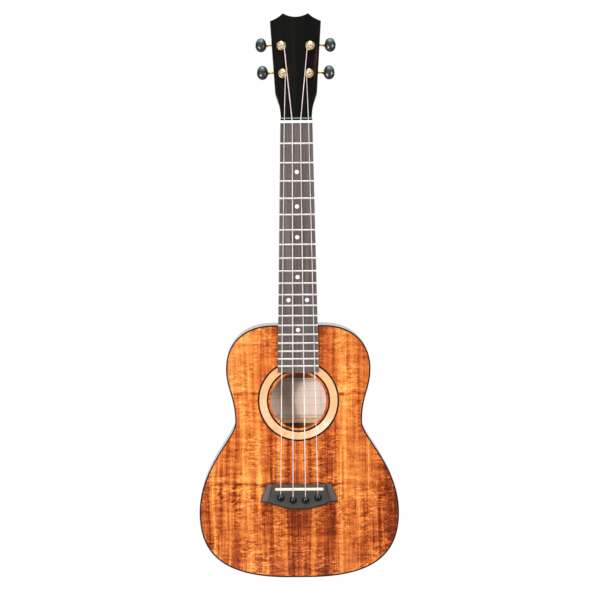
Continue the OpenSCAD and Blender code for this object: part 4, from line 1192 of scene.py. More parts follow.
@dataclass
class Outline:
    """Plan of the soundbox: cubic curves up the treble side, mirrored on the bass side.

    The pulls are the distances of the curves' inner control points from their ends, below and above.
    """

    lower_z: float = 77.5 * MM
    waist_w: float = 150.5 * MM
    waist_z: float = 185 * MM
    upper_w: float = 171.5 * MM
    upper_z: float = 248.5 * MM
    tail_flat: float = 12 * MM
    shoulder_half: float = 29.4 * MM
    tail_pull: float = 86 * MM
    lower_pulls: tuple[float, float] = (43 * MM, 54 * MM)
    waist_pulls: tuple[float, float] = (17.5 * MM, 30.5 * MM)
    upper_pulls: tuple[float, float] = (24.5 * MM, 31 * MM)
    shoulder_pull: float = 35 * MM
    steps: int = 30
    flat_steps: int = 8
    lower_w: float = field(init=False)
    tail: float = field(init=False)
    shoulder: float = field(init=False)

    def __post_init__(self) -> None:
        """Takes the width and both ends from the front binding."""
        low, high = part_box("binding_front")
        self.lower_w = high.x - low.x
        self.tail = low.z
        self.shoulder = high.z

    def legs(self) -> Array:
        """Control points of the four curves, with heights above the tail.

        Returns:
            Places as curves, points, xz; a curve starts where the one before it ends.
        """
        top = self.shoulder - self.tail
        points = [(self.tail_flat, 0.0), (self.tail_flat + self.tail_pull, 0.0)]
        for width, height, (below, above) in (
            (self.lower_w, self.lower_z, self.lower_pulls),
            (self.waist_w, self.waist_z, self.waist_pulls),
            (self.upper_w, self.upper_z, self.upper_pulls),
        ):
            points += [(width / 2, height - below), (width / 2, height), (width / 2, height + above)]
        points += [(self.shoulder_half + self.shoulder_pull, top), (self.shoulder_half, top)]
        return np.array([points[i : i + 4] for i in range(0, len(points) - 1, 3)])

    def half(self, inset: float) -> Array:
        """The treble half from the tail's middle to the shoulder's middle, moved inwards by inset.

        Each curve is (1-t)^3 a + 3 (1-t)^2 t b + 3 (1-t) t^2 c + t^3 d.

        Args:
            inset: distance from the outer face.

        Returns:
            Rows of x and z.
        """
        t = np.linspace(0, 1, self.steps, endpoint=False)[None, :, None]
        legs = self.legs()
        a, b, c, d = (legs[:, i, None] for i in range(4))
        place = (1 - t) ** 3 * a + 3 * (1 - t) ** 2 * t * b + 3 * (1 - t) * t**2 * c + t**3 * d
        way = (1 - t) ** 2 * (b - a) + 2 * (1 - t) * t * (c - b) + t**2 * (d - c)
        curve = (place + inset * left_of(unit(way))).reshape(-1, 2)
        foot = places(np.linspace(0, self.tail_flat, self.flat_steps, endpoint=False), inset)
        head = places(np.linspace(self.shoulder_half, 0, self.flat_steps), self.shoulder - self.tail - inset)
        return np.concatenate([foot, curve, head]) + np.array([0.0, self.tail])

    def loop(self, inset: float) -> Array:
        """The whole outline, up the treble side and down the bass side, as rows of x and z."""
        right = self.half(inset)
        return np.concatenate([right, right[-2:0:-1] * MIRROR])


@dataclass
class Soundbox:
    """The plates, the ribs, their bindings and what is glued inside."""

    outline: Outline = field(default_factory=Outline)
    hole: Soundhole = field(default_factory=Soundhole.from_frame)
    tail_depth: float = 72 * MM
    shoulder_depth: float = 64 * MM
    top_t: float = 2 * MM
    back_t: float = 2.2 * MM
    back_shade: float = -0.06
    back_columns: int = 13
    side_t: float = 1.9 * MM
    binding_w: float = 1.7 * MM
    binding_h: float = 5 * MM
    binding_round: float = 0.4 * MM
    graft_half: float = 6 * MM
    hole_margin: float = 3 * MM
    rosette_reach: float = 12 * MM
    inlay_t: float = 1 * MM
    hole_round: float = 0.5 * MM
    front_shares: tuple[float, ...] = (0.25, 0.5, 0.75, 1.0)
    rear_shares: tuple[float, ...] = (1.0, 0.5, 0.0)
    line_w: float = 1.7 * MM
    line_spread: float = 0.45 * MM
    line_proud: float = 0.03 * MM
    line_sides: int = 160

    @property
    def rosette(self) -> tuple[float, float]:
        """Inner and outer radius of the rosette's channel."""
        inner = self.hole.radius + self.hole_margin
        return inner, inner + self.rosette_reach

    def back_y(self, z: Array) -> Array:
        """Depth of the back's outer face: straight from the shoulder's depth to the tail's."""
        share = (self.outline.shoulder - z) / (self.outline.shoulder - self.outline.tail)
        return mix(self.shoulder_depth, self.tail_depth, share)

    def soundboard(self) -> None:
        """Builds the front plate as rings from the soundhole's wall to the rim and back behind.

        A ring is a circle round the hole near it, and blends to the outline further out.
        """
        rim = self.outline.loop(self.binding_w)
        centre = np.array([0.0, self.hole.centre])
        ray = unit(rim - centre)
        inner, outer = self.rosette
        rounds = [(self.hole.radius + inset, depth) for inset, depth in rounding(self.hole_round)]
        rounds += [(inner, 0.0), (inner, self.inlay_t), (outer, self.inlay_t), (outer, 0.0)]
        plans = [(centre + ray * reach, depth) for reach, depth in rounds]
        start = centre + ray * outer
        plans += [(mix(start, rim, share), 0.0) for share in self.front_shares]
        plans += [(mix(start, rim, share), self.top_t) for share in self.rear_shares]
        plans.append((centre + ray * self.hole.radius, self.top_t))
        rings = np.array([places(plan[:, 0], depth, plan[:, 1]) for plan, depth in plans])
        fit(shell("soundboard_plate", rings, loop=True), KOA_TOP, "koa_top", "soundboard")

    def purfling(self) -> None:
        """Builds the two dark lines of the rosette: flat rings a little proud of the plate."""
        inner, outer = self.rosette
        proud = np.array([-1.0, 1.0, 1.0, -1.0])[:, None] * self.line_proud
        x, z = circle(self.line_sides).T
        for name, start, end, nodes in (
            ("rosette_line_in", inner - self.line_spread, inner + self.line_w, ("rosette_purfling",)),
            ("rosette_line_out", outer - self.line_w, outer + self.line_spread, ()),
        ):
            radius = np.array([start, start, end, end])[:, None]
            rings = places(radius * x, proud, radius * z + self.hole.centre)
            fit(shell(name, rings, loop=True), BINDING, "binding", *nodes)

    def back(self) -> None:
        """Builds the back plate as flat rings across it, between the tail's and the shoulder's corners."""
        right = self.outline.half(self.binding_w)
        tail = np.flatnonzero(right[:, 1] <= right[:, 1].min() + MERGE_REACH)[-1]
        shoulder = np.flatnonzero(right[:, 1] >= right[:, 1].max() - MERGE_REACH)[0]
        right = right[tail : shoulder + 1]
        x = right[:, :1] * np.linspace(-1, 1, self.back_columns)
        z = right[:, 1:]
        outer = places(x, self.back_y(z), z)
        inner = places(x, self.back_y(z) - self.back_t, z)[:, ::-1]
        slope = (self.shoulder_depth - self.tail_depth) / (self.outline.shoulder - self.outline.tail)
        face = (self.shoulder_depth - slope * self.outline.shoulder, slope, 1.0)
        finish = Koa("koa_back", shade=self.back_shade, inner=face)
        fit(shell("back_panel", np.concatenate([outer, inner], axis=1)), finish, "koa_back", "back_plate")

    def strip(self, plans: list[Array], depths: list[tuple[float, bool]]) -> Array:
        """Carries a section along the outline.

        Args:
            plans: the outline at each point of the section.
            depths: each point's depth, and whether it counts from the back's face or the front's.

        Returns:
            Places as rings, points, xyz.
        """
        columns = []
        for plan, (depth, behind) in zip(plans, depths):
            y = self.back_y(plan[:, 1]) - depth if behind else depth
            columns.append(places(plan[:, 0], y, plan[:, 1]))
        return np.stack(columns, axis=1)

    def ribs(self) -> None:
        """Builds both bent sides: a stepped section, with ledges for the bindings, along half the outline.

        The map of lengths has the distance along the outline and the depth.
        """
        outer = self.outline.half(0.0)
        ledge = self.outline.half(self.binding_w)
        inner = self.outline.half(self.side_t)
        front = [(self.top_t, False), (self.binding_h, False)]
        behind = [(self.binding_h, True), (self.back_t, True)]
        depths = [front[1], behind[0], *behind, behind[1], front[0], *front]
        plans = [outer, outer, ledge, ledge, inner, inner, ledge, ledge]
        keep = outer[:, 0] > self.graft_half
        keep[-1] = True
        rings = self.strip(plans, depths)[keep]
        run = np.concatenate([[0.0], np.cumsum(np.linalg.norm(np.diff(outer, axis=0), axis=1))])
        lengths = places(run[keep, None], rings[..., 1])
        for name, node, side in (("rib_treble", "side_treble", 1.0), ("rib_bass", "side_bass", -1.0)):
            mirrored = rings * np.array([side, 1.0, 1.0])
            turned = lengths * np.array([side, 1.0])
            fit(shell(name, mirrored, lengths=turned), KOA_RIB, "koa_side", node)

    def bindings(self) -> None:
        """Builds both edge strips: a section with one rounded outer edge, carried round the outline."""
        edge = rounding(self.binding_round).tolist()
        section = [(0.0, self.binding_h), *edge, (self.binding_w, 0.0), (self.binding_w, self.binding_h)]
        plans = [self.outline.loop(inset) for inset, _ in section]
        for side, behind in (("front", False), ("back", True)):
            rings = self.strip(plans, [(depth, behind) for _, depth in section])
            fit(shell(f"edge_{side}", rings, loop=True), BINDING, "binding", f"binding_{side}")

    def build(self) -> None:
        """Builds the shells and finishes what stays from the frame."""
        self.soundboard()
        self.back()
        self.ribs()
        self.bindings()
        self.purfling()
        dress(BINDING, "tail_graft")
        dress(ROSETTE, "rosette_ring")
        dress(BLOCK_WOOD, "head_block", "tail_block", "linings", "bridge_plate")
        dress(SPRUCE, "top_braces", "fan_braces", "back_braces")
        dress(PAPER, "label")


@dataclass
class HeadFrame:
    """The tilted frame of the head: y out of its back, z towards the crest, from the nut's rear edge."""

    tilt: float = HEAD_TILT
    nut_t: float = field(default_factory=lambda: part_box("nut")[1].z)

    def out(self, points: Array, tilt: float | None = None) -> Array:
        """Turns points of the head's frame into the object's frame.

        Args:
            points: places in the head's frame.
            tilt: another tilt than the head's.

        Returns:
            Places in the object's frame.
        """
        angle = self.tilt if tilt is None else tilt
        c, s = math.cos(angle), math.sin(angle)
        x, y, z = np.moveaxis(points, -1, 0)
        return places(x, y * c + z * s, self.nut_t - y * s + z * c)

    def back(self, points: Array) -> Array:
        """Turns points of the object's frame into the head's frame.

        Args:
            points: places in the object's frame.

        Returns:
            Places in the head's frame.
        """
        c, s = math.cos(self.tilt), math.sin(self.tilt)
        x, y, z = np.moveaxis(points, -1, 0)
        z = z - self.nut_t
        return places(x, y * c - z * s, y * s + z * c)

    @property
    def normal(self) -> Array:
        """Direction out of the head's back."""
        return np.array([0.0, math.cos(self.tilt), -math.sin(self.tilt)])

    @property
    def up(self) -> Array:
        """Direction from the nut to the crest."""
        return np.array([0.0, math.sin(self.tilt), math.cos(self.tilt)])


@dataclass
class Neck:
    """Neck with its heel and the start of the head, fretboard, frets, dots and nut."""

    head: HeadFrame = field(default_factory=HeadFrame)
    nut_w: float = 38 * MM
    board_end_w: float = 48.8 * MM
    depth_nut: float = 14.5 * MM
    depth_heel: float = 17 * MM
    heel_length: float = 52 * MM
    heel_overrun: float = 8 * MM
    heel_sweep: float = 2.5
    heel_back: float = 64 * MM
    heel_cap_t: float = 2.5 * MM
    profile_power: float = 2.3
    scarf_z: float = 25 * MM
    head_t: float = 13 * MM
    head_base_w: float = 36.6 * MM
    head_ear_w: float = 49.4 * MM
    head_ear_z: float = 33.8 * MM
    profile_steps: int = 60
    heel_steps: int = 28
    scarf_steps: int = 6

    def board_half(self, z: float) -> float:
        """Half width of the board at a height: straight from the nut's width to the end's."""
        low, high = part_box("fretboard")
        return mix(self.nut_w, self.board_end_w, max(0.0, -z) / (high.z - low.z)) / 2

    def head_half(self, z: Array | float) -> Array:
        """Half width of the head below its lower corners: an arc that leaves the neck's line.

        Args:
            z: heights from the nut's rear edge.

        Returns:
            The half widths: base + R - sqrt(R^2 - z^2).
        """
        rise = (self.head_ear_w - self.head_base_w) / 2
        radius = (rise**2 + self.head_ear_z**2) / (2 * rise)
        return self.head_base_w / 2 + radius - np.sqrt(radius**2 - z**2)

    def section(self, half: float, depth: float, z: float, square: float = 0.0) -> Array:
        """One section of the neck: a rounded D blended with a rectangle.

        The D is half an oval, and the rectangle runs down one side, along the back and up the other.

        Args:
            half: half width at the front.
            depth: depth of the back.
            z: height.
            square: share of the rectangle.

        Returns:
            Places, one row each, from the treble edge round the back to the bass edge.
        """
        turn = np.linspace(0, math.pi, self.profile_steps + 1)
        rounded = oval(turn, (half, depth), self.profile_power)
        third = turn / math.pi * 3
        boxed = places(np.clip(3 - 2 * third, -1, 1) * half, np.clip(1.5 - abs(third - 1.5), 0, 1) * depth)
        flat = mix(rounded, boxed, square)
        return places(flat[:, 0], flat[:, 1], z)

    def shaft(self) -> None:
        """Builds the neck: heel sections that deepen as (1 - s^2)^sweep, the shaft and the scarf."""
        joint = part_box("neck")[0].z
        rings = []
        for s in np.linspace(0, 1, self.heel_steps):
            depth = mix(self.depth_heel, self.heel_back + self.heel_overrun, (1 - s * s) ** self.heel_sweep)
            z = joint + self.heel_length * s
            rings.append(self.section(self.board_half(z), depth, z))
        nut = self.section(self.nut_w / 2, self.depth_nut, 0.0)
        rings += [nut, self.head.out(nut, self.head.tilt / 2)]
        for s in np.linspace(0, 1, self.scarf_steps + 1)[1:]:
            z = self.scarf_z * s
            square = float(smooth(s))
            depth = mix(self.depth_nut, self.head_t, square)
            rings.append(self.head.out(self.section(self.head_half(z), depth, z, square)))
        points = np.array(rings)
        points[..., 1] = np.minimum(points[..., 1], self.heel_back - self.heel_cap_t)
        fit(shell("neck_shaft", points), MAHOGANY, "mahogany", "neck")

    def build(self) -> None:
        """Builds the neck and finishes the board's pieces."""
        self.shaft()
        dress(EBONY, "heel_cap")
        dress(BOARD_WOOD, "fretboard")
        dress(NICKEL, "frets")
        dress(BONE, "nut")
        dress(PEARL, "position_dots", "side_dots")
        dress(STEEL, "neck_bolt", "bolt_washer")
        dress(BRASS, "heel_insert")


@dataclass
class Head:
    """Head with its dark veneer and a painted reflection above the nut: a pale strip standing in for light off the
    veneer's lower bevel.
    """

    neck: Neck = field(default_factory=Neck)
    veneer_t: float = 2 * MM
    bevel: float = 0.45 * MM
    top_half: float = 30.3 * MM
    top_z: float = 121.6 * MM
    crest_half: float = 15 * MM
    crest_z: float = 131.1 * MM
    crest_dip: float = 4.4 * MM
    side_dip: float = 1.1 * MM
    arc_steps: int = 20
    line_h: float = 1.1 * MM
    line_up: float = 2.2 * MM
    line_lift: float = 0.25 * MM
    line_inset: float = 0.4 * MM
    line_end: float = 0.2 * MM
    line_taper: float = 0.6
    line_power: float = 3.0
    line_sides: int = 24

    def dipped(self, start: Array, end: Array, dip: float) -> Array:
        """Inner points of an arc that sags to the right of the way from start to end.

        Args:
            start, end: the arc's ends, as x and z.
            dip: how far its middle sags from the chord.

        Returns:
            Rows of x and z without the two ends.
        """
        chord = float(np.linalg.norm(end - start))
        radius = (chord * chord / 4 + dip * dip) / (2 * dip)
        way = (end - start) / chord
        left = left_of(way)
        centre = (start + end) / 2 + left * (radius - dip)
        q = math.asin(chord / 2 / radius) * np.linspace(-1, 1, self.arc_steps + 1)[1:-1, None]
        return centre - radius * np.cos(q) * left + radius * np.sin(q) * way

    def outline(self) -> Array:
        """Closed outline of the head, from the nut up the treble side and down the bass side.

        Returns:
            Rows of x and z in the head's frame.
        """
        z = np.linspace(0, self.neck.head_ear_z, self.arc_steps)
        flank = places(self.neck.head_half(z), z)
        corner = np.array([self.top_half, self.top_z])
        tip = np.array([self.crest_half, self.crest_z])
        side = np.vstack([flank, corner, self.dipped(tip, corner, self.side_dip)[::-1], tip])
        crest = self.dipped(tip * MIRROR, tip, self.crest_dip)[::-1]
        return np.concatenate([side, crest, side[::-1] * MIRROR])

    def veneer(self) -> None:
        """Builds the veneer: its outline at the back, at the bevel's foot and, moved inwards, at the face.

        A point moves inwards by 2 b / |b|^2, with b the sum of its two edges' normals; at the nut it
        stays on the nut's plane.
        """
        plan = self.outline()
        normal = left_of(unit(np.roll(plan, -1, axis=0) - plan))
        bisector = normal + np.roll(normal, 1, axis=0)
        inwards = 2 * bisector / np.sum(bisector**2, axis=1, keepdims=True)
        foot = plan[:, 1] < MERGE_REACH
        rings = []
        for inset, depth in ((0.0, 0.0), (0.0, self.bevel - self.veneer_t), (self.bevel, -self.veneer_t)):
            place = plan + inset * inwards
            place[foot, 1] = depth * math.tan(self.neck.head.tilt)
            rings.append(places(place[:, 0], depth, place[:, 1]))
        plate = shell("head_veneer", self.neck.head.out(np.array(rings)))
        fit(plate, EBONY, "ebony", "headstock_veneer")

    def painted_nut_reflection(self) -> None:
        """Builds the painted reflection above the nut: a thin pale strip on the veneer, rounded, with tapered
        ends, standing in for light off its lower bevel.
        """
        half = self.neck.head_base_w / 2 - self.line_inset
        x = np.array([-half, self.line_end - half, half - self.line_end, half])[:, None]
        swell = np.array([self.line_taper, 1.0, 1.0, self.line_taper])[:, None]
        up, lift = circle(self.line_sides, (self.line_h / 2, self.line_lift), self.line_power).T
        points = places(x, lift * swell - self.veneer_t, self.line_up + up * swell)
        # painted reflection strip on the veneer above the nut
        fit(shell("painted_nut_reflection", self.neck.head.out(points)), PAINTED_NUT_REFLECTION, "ebony")

    def build(self) -> None:
        """Builds the veneer and the painted reflection above the nut, and finishes the head."""
        dress(HEAD_WOOD, "headstock")
        self.veneer()
        self.painted_nut_reflection()


@dataclass
class Bridge:
    """Pin bridge with a scooped wing at each end, a round-ended saddle and four pins.

    A pin's shank is given as rows of radius and height above its lower end.
    """

    height: float = 8 * MM
    wing_h: float = 3.6 * MM
    wing_tip_h: float = 2.4 * MM
    top_w: float = 77 * MM
    low_w: float = 92.8 * MM
    block_top_w: float = 61.6 * MM
    block_low_w: float = 73 * MM
    rise: float = 5.3 * MM
    drop: float = 16 * MM
    belly: float = 8.2 * MM
    edge_round: float = 1.7 * MM
    scoop: float = 1.7 * MM
    grid: tuple[int, int] = (61, 121)
    ring: float = 2.5 * MM
    rough: float = 0.46
    tones: tuple[Colour, Colour] = (srgb(76, 69, 66), srgb(51, 46, 44))
    saddle_w: float = 58 * MM
    saddle_t: float = 3.4 * MM
    saddle_top: float = 10.4 * MM
    saddle_seat: float = 2 * MM
    saddle_sides: int = 48
    crown_steps: int = 10
    pin_fullness: float = 1.18
    pin_dome: float = 3 * MM
    pin_tuck: float = 0.7
    pin_steps: int = 16
    pin_shank: tuple[tuple[float, float], ...] = (
        (0.0, 0.0),
        (1.7 * MM, 0.0),
        (2.0 * MM, 0.3 * MM),
        (2.5 * MM, 17 * MM),
        (2.5 * MM, 18 * MM),
    )

    @staticmethod
    def saddle_z() -> float:
        """Height of the saddle's middle."""
        return float(middle("saddle")[2])

    @staticmethod
    def crowded(count: int) -> Array:
        """Places from 0 to 1 that lie closer together near both ends: (1 - cos(pi t)) / 2."""
        return (1 - np.cos(np.linspace(0, math.pi, count))) / 2

    def finish(self) -> Finish:
        """Wood with painted light on the wings, which start at the block's edge, straight between its two widths,
        and painted shade on faces that turn down.

        Returns:
            The finish.
        """
        slope = (self.block_top_w - self.block_low_w) / 2 / (self.rise + self.drop)
        edge = (self.block_top_w / 2 - slope * (self.saddle_z() + self.rise), slope)
        return BridgeTimber("bridge_wood", *self.tones, Grain.ACROSS, self.ring, rough=self.rough, edge=edge)

    def body(self) -> None:
        """Builds the bridge as a height over its plan.

        The plan narrows upwards and bellies out below; the height falls from the block to the wings in
        a soft step, thins towards the tips and rounds off at the border.
        """
        v = self.crowded(self.grid[0])[:, None]
        u = self.crowded(self.grid[1])[None, :] * 2 - 1
        half = mix(self.top_w, self.low_w, v) / 2
        block = mix(self.block_top_w, self.block_low_w, v) / 2
        x = u * half
        bow = np.clip(1 - (x / (self.block_low_w / 2)) ** 2, 0, 1) * self.belly
        z = mix(self.rise, -self.drop - bow, v)
        past = np.abs(x) - block
        wing = mix(self.wing_h, self.wing_tip_h, np.clip(past / (half - block), 0, 1))
        height = mix(self.height, wing, smooth(past / self.scoop))
        edge = np.minimum(np.minimum(z - z[-1:], z[:1] - z), half - np.abs(x))
        short = np.clip(1 - edge / self.edge_round, 0, 1)
        height = height - np.minimum(self.edge_round, height) * (1 - np.sqrt(1 - short**2))
        top = np.pad(places(x, -height, z + self.saddle_z()), ((1, 1), (1, 1), (0, 0)), mode="edge")
        top[[0, -1], :, 1] = 0.0
        top[:, [0, -1], 1] = 0.0
        fit(pillow("bridge_body", top, 0.0), self.finish(), "bridge_wood", "bridge")

    def saddle(self) -> None:
        """Builds the saddle: a bar with round ends whose rings draw in over a round crown."""
        half_t = self.saddle_t / 2
        ends = circle(self.saddle_sides, (half_t, half_t))
        aside = np.sign(ends[:, 0]) * (self.saddle_w / 2 - half_t)
        crown = [(inset, self.saddle_top - depth) for inset, depth in rounding(half_t, self.crown_steps)]
        rings = []
        for inset, level in [(0.0, self.height - self.saddle_seat), *crown]:
            drawn = ends * (1 - inset / half_t)
            rings.append(places(aside + drawn[:, 0], -level, self.saddle_z() + drawn[:, 1]))
        fit(shell("saddle_bar", np.array(rings)), SADDLE_BONE, "bone", "saddle")

    def pins(self) -> None:
        """Builds the four string pins: a tapered shank, a collar and a round head, turned about -Y."""
        turn = np.linspace(-self.pin_tuck, math.pi / 2, self.pin_steps)
        for k in STRING_NUMBERS:
            node = f"bridge_pin_{k}"
            low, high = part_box(node)
            head_r = (high.x - low.x) / 2 * self.pin_fullness
            dome = places(head_r * np.cos(turn), -low.y - self.pin_dome * (1 - np.sin(turn)))
            shank = np.array(self.pin_shank) - np.array([0.0, high.y])
            profile = np.concatenate([shank, dome[dome[:, 1] > shank[-1, 1]]])
            profile[-1, 0] = 0.0
            pin = lathe(f"string_pin_{k}", profile, middle(node) * np.array([1.0, 0.0, 1.0]))
            fit(pin, PIN_BLACK, "pin_black", node, body=f"string_pin_{k}")

    def build(self) -> None:
        """Builds the bridge, the saddle and the pins."""
        self.body()
        self.saddle()
        self.pins()


@dataclass
class Tuners:
    """Four open-gear tuners: plates, gears, posts and knobs."""

    head: HeadFrame = field(default_factory=HeadFrame)
    knob_h: float = 17.4 * MM
    knob_t: float = 7.9 * MM
    knob_grow: float = 0.3 * MM
    rings: int = 34
    sides: int = 48

    def knob(self, k: int) -> None:
        """Builds a knob: ovals across its shaft, sin a in size and (1 - cos a) / 2 of the way along it.

        Args:
            k: the string's number.
        """
        node = f"knob_{k}"
        low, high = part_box(node)
        a = np.linspace(0, math.pi, self.rings)
        x = mix(low.x - self.knob_grow, high.x + self.knob_grow, (1 - np.cos(a)) / 2)
        ring = circle(self.sides, (self.knob_t / 2, self.knob_h / 2))
        spread = ring[:, :1] * self.head.normal + ring[:, 1:] * self.head.up
        points = joint_place(f"knob_{k}_turn") + np.sin(a)[:, None, None] * spread
        points[..., 0] = x[:, None]
        piece = shell(f"knob_oval_{k}", points, capped=False)
        fit(piece, KNOB_BLACK, "knob_black", node, body=f"tuner_knob_{k}")

    def build(self) -> None:
        """Builds the knobs and finishes the metal."""
        for k in STRING_NUMBERS:
            self.knob(k)
            dress(GOLD_PLATE, f"worm_shaft_{k}")
            dress(BRASS, f"gear_{k}")
            dress(GOLD, f"post_{k}")
        dress(GOLD_PLATE, "tuner_plates", "plate_screws")
        dress(GOLD, "post_bushings")


@dataclass
class Strings:
    """Four strings from their knots under the bridge to the turns on their posts."""

    head: HeadFrame = field(default_factory=HeadFrame)
    bridge: Bridge = field(default_factory=Bridge)
    diameters: tuple[float, ...] = (0.75 * MM, 0.95 * MM, 0.85 * MM, 0.7 * MM)
    fullness: float = 1.2
    nut_step: float = 9.6 * MM
    saddle_step: float = 14.6 * MM
    nut_seat: float = 5.9 * MM
    rest_gap: float = 0.05 * MM
    lift: float = 0.3 * MM
    slot: float = 3.225 * MM
    knot_depth: float = 4.05 * MM
    knot_h: float = 1.6 * MM
    knot_r: float = 0.95 * MM
    bend: float = 0.6 * MM
    bend_steps: int = 9
    open_steps: int = 30
    spool_r: float = 2.6 * MM
    winding_gap: float = 0.12 * MM
    turn_gap: float = 0.5 * MM
    winding_start: float = 4.9 * MM
    turns: int = 3
    turn_steps: int = 48

    @staticmethod
    def rank(k: int) -> float:
        """Steps from the centre line to string k."""
        return k - sum(STRING_NUMBERS) / len(STRING_NUMBERS)

    def nut_point(self, k: int) -> Array:
        """Middle of string k over the nut's front edge."""
        radius = self.diameters[k - 1] / 2
        return np.array([self.rank(k) * self.nut_step, -self.nut_seat - radius - self.rest_gap, 0.0])

    def winding(self, k: int) -> Array:
        """The turns on post k: a helix from where the string arrives, on the side of the centre line.

        Args:
            k: the string's number.

        Returns:
            The centre line's places, one row each.
        """
        d = self.diameters[k - 1]
        post = self.head.back(joint_place(f"post_{k}_turn"))
        nut = self.head.back(self.nut_point(k))
        side = math.copysign(1.0, self.rank(k))
        r = self.spool_r + self.winding_gap + d / 2
        across, along = nut[0] - post[0], nut[2] - post[2]
        entry = math.atan2(along, across) - side * math.acos(r / math.hypot(across, along))
        turn = np.linspace(0, self.turns, self.turns * self.turn_steps + 1)
        a = entry - side * math.tau * turn
        level = self.winding_start + d / 2 + (d + self.turn_gap) * turn
        return self.head.out(places(post[0] + r * np.cos(a), -level, post[2] + r * np.sin(a)))

    def crown(self, k: int, corner: Array) -> Array:
        """The string's arc over the saddle's crown, from the touch of the line from the corner to the top.

        Args:
            k: the string's number.
            corner: where the string leaves the bridge.

        Returns:
            The arc's places, one row each.
        """
        saddle_z = self.bridge.saddle_z()
        half_t = self.bridge.saddle_t / 2
        wrap = half_t + self.diameters[k - 1] / 2 + self.rest_gap
        reach_y = self.bridge.saddle_top - half_t + corner[1]
        reach_z = saddle_z - corner[2]
        lean = math.atan2(reach_z, -reach_y) - math.acos(wrap / math.hypot(reach_y, reach_z))
        a = lean * np.linspace(1, 0, self.bend_steps)
        y = half_t - self.bridge.saddle_top - wrap * np.cos(a)
        return places(self.rank(k) * self.saddle_step, y, saddle_z - wrap * np.sin(a))

    def path(self, k: int) -> Array:
        """Centre line of string k: knot, pin slot, saddle crown, open length and turns.

        The bend at the bridge is corner + b ((1 - t)^2 down + t^2 rise).

        Args:
            k: the string's number.

        Returns:
            Places, one row each.
        """
        x, _, z = middle(f"bridge_pin_{k}") + np.array([0.0, 0.0, self.slot])
        corner = np.array([x, -self.bridge.height - self.diameters[k - 1] / 2 - self.lift, z])
        crown = self.crown(k, corner)
        t = np.linspace(0, 1, self.bend_steps)[:, None]
        down = np.array([0.0, 1.0, 0.0])
        bend = corner + self.bend * ((1 - t) ** 2 * down + t**2 * unit(crown[0] - corner))
        knot = places(x, self.knot_depth + np.array([self.knot_h, self.rest_gap, 0.0]), z)
        length = mix(crown[-1], self.nut_point(k), np.linspace(0, 1, self.open_steps)[1:, None])
        return np.concatenate([knot, bend, crown, length, self.winding(k)])

    def build(self) -> None:
        """Builds the four strings as tubes with a thicker knot."""
        for k in STRING_NUMBERS:
            path = self.path(k)
            radii = np.full(len(path), self.fullness * self.diameters[k - 1] / 2)
            radii[:2] = self.knot_r
            fit(tube(f"string_line_{k}", path, radii), NYLON, "nylon", f"string_{k}")


# Studio


@dataclass(frozen=True)
class Lamp:
    """A square lamp: place, power in watts, side length and tint."""

    name: str
    place: tuple[float, float, float]
    power: float
    size: float
    tint: Colour = WHITE

    def source(self, reach: float) -> bpy.types.Light:
        """Makes the light for an aim at the given distance.

        Args:
            reach: distance to the aim, which a square lamp doesn't need.

        Returns:
            The light, with its form set.
        """
        data = bpy.data.lights.new(self.name, "AREA")
        data.size = self.size
        return data

    def hang(self, aim: Vector) -> None:
        """Adds the lamp, turned to the aim.

        Args:
            aim: the place that it points at.
        """
        way = aim - Vector(self.place)
        data = self.source(way.length)
        data.energy = self.power
        data.color = self.tint
        made = add_object(self.name, data)
        made.location = self.place
        made.rotation_euler = way.to_track_quat("-Z", "Y").to_euler()


@dataclass(frozen=True)
class Beam(Lamp):
    """A round lamp with a narrow cone: the size is its diameter, and the spot is the cone's at the aim."""

    spot: float = 60 * MM
    blend: float = 0.25

    def source(self, reach: float) -> bpy.types.Light:
        """Makes the light for an aim at the given distance.

        Args:
            reach: distance to the aim.

        Returns:
            The light, with its cone set.
        """
        data = bpy.data.lights.new(self.name, "SPOT")
        data.shadow_soft_size = self.size / 2
        data.spot_size = 2 * math.atan(self.spot / 2 / reach)
        data.spot_blend = self.blend
        return data


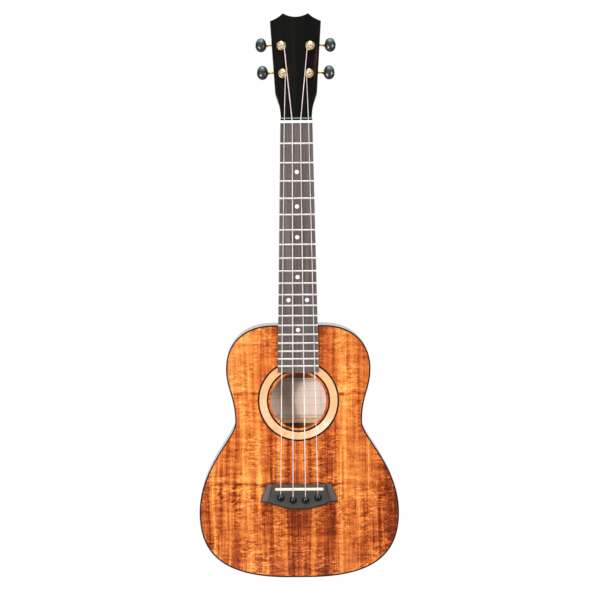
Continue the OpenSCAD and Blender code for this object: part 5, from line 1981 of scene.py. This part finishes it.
@dataclass
class Studio:
    """Pale floor, soft lamps, a white room and the camera."""

    image: int = 600
    pixel: float = 1.185 * MM
    distance: float = 4.2
    sensor: float = 36.0
    clip_end: float = 50.0
    target: tuple[float, float, float] = (2.7 * MM, 0.0, -209.65 * MM)
    azimuth: float = math.radians(-0.4)
    elevation: float = math.radians(2.5)
    roll: float = math.radians(-0.44)
    floor_drop: float = 0.25
    floor_r: float = 2.4
    floor_sides: int = 96
    ambient: float = 0.2
    front_dark: float = 0.02
    behind: float = 0.7
    behind_range: Range = (-0.1, 0.2)
    ceiling: float = 2.0
    ceiling_range: Range = (0.58, 0.78)
    sky: Colour = (0.5, 0.93, 1.0)
    lamps: tuple[Lamp, ...] = (
        Lamp("lamp_left", (-1.12, -2.4, 0.05), 39.0, 0.6),
        Lamp("lamp_right", (1.5, -2.15, 0.65), 25.0, 0.5),
        Lamp("lamp_top", (0.0, -0.7, 2.0), 24.0, 1.2, (0.82, 0.95, 1.0)),
        Lamp("lamp_rear_left", (-1.7, 2.3, 0.6), 32.0, 1.4),
        Lamp("lamp_rear_right", (1.7, 2.3, 0.6), 32.0, 1.4),
    )
    beams: tuple[Beam, ...] = (
        Beam("beam_left", (-0.93, -2.0, -0.2), 122.0, 0.08),
        Beam("beam_right", (1.68, -2.0, -0.2), 90.0, 0.08),
    )

    def camera(self) -> None:
        """Sets the camera: on a line from the target, rolled, with the photograph's field of view."""
        data = bpy.data.cameras.new("camera")
        half = self.image * self.pixel / 2
        data.sensor_width = self.sensor
        data.lens = self.sensor / 2 * self.distance / half
        data.clip_end = self.clip_end
        made = add_object("camera", data)
        a, e = self.azimuth, self.elevation
        back = Vector((math.sin(a) * math.cos(e), -math.cos(a) * math.cos(e), math.sin(e)))
        made.location = Vector(self.target) + back * self.distance
        made.rotation_mode = "QUATERNION"
        made.rotation_quaternion = (-back).to_track_quat("-Z", "Y") @ Quaternion((0.0, 0.0, 1.0), self.roll)
        bpy.context.scene.camera = made

    def lights(self) -> None:
        """Hangs the lamps, aimed at the body, and the beams, aimed through the soundhole at the label."""
        for lamp in self.lamps:
            lamp.hang(Vector((0.0, 0.0, self.target[2])))
        for beam in self.beams:
            beam.hang(Vector((0.0, 0.0, Soundhole.from_frame().centre)))

    def floor(self) -> None:
        """Lays a round floor under the object."""
        ring = circle(self.floor_sides, (self.floor_r, self.floor_r))
        points = places(ring[:, 0], ring[:, 1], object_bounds()[0].z - self.floor_drop)
        mesh = bpy.data.meshes.new("floor")
        mesh.from_pydata(points.tolist(), [], [list(range(self.floor_sides))])
        mesh.materials.append(FLOOR_WHITE.material())
        add_object("floor", mesh)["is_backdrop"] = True

    def room(self) -> None:
        """Sets the world: white to the camera; for gloss, white behind, cool sky above and dark in front."""
        world = bpy.data.worlds.new("room")
        bpy.context.scene.world = world
        world.use_nodes = True
        sheet = Sheet(world.node_tree)
        camera, through, gloss = sheet.rays()
        _, y, z = sheet.split(sheet.node("TexCoord", out="Generated"))
        above = z.between(*self.ceiling_range)
        bright = (y.between(*self.behind_range) * self.behind).most(above * self.ceiling)
        mirrored = self.front_dark + bright * (1 - self.front_dark)
        lit = self.ambient + gloss * (mirrored - self.ambient)
        strength = lit + camera.most(through) * (1 - lit)
        tint = sheet.blend(WHITE, self.sky, gloss * above)
        glow = sheet.node("Background", {"Color": tint, "Strength": strength})
        sheet.node("OutputWorld", {"Surface": glow})

    def build(self) -> None:
        """Sets up the room and the view transform."""
        bpy.context.scene.view_settings.view_transform = "Standard"
        self.camera()
        self.lights()
        self.floor()
        self.room()


def main() -> None:
    """Builds the studio and every sub-assembly."""
    logging.basicConfig(level=logging.INFO, format="%(name)s: %(message)s")
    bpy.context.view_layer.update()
    for part in (Studio(), Soundbox(), Neck(), Head(), Bridge(), Tuners(), Strings()):
        LOG.info("sub-assembly %s", type(part).__name__)
        part.build()


if __name__ == "__main__":
    main()
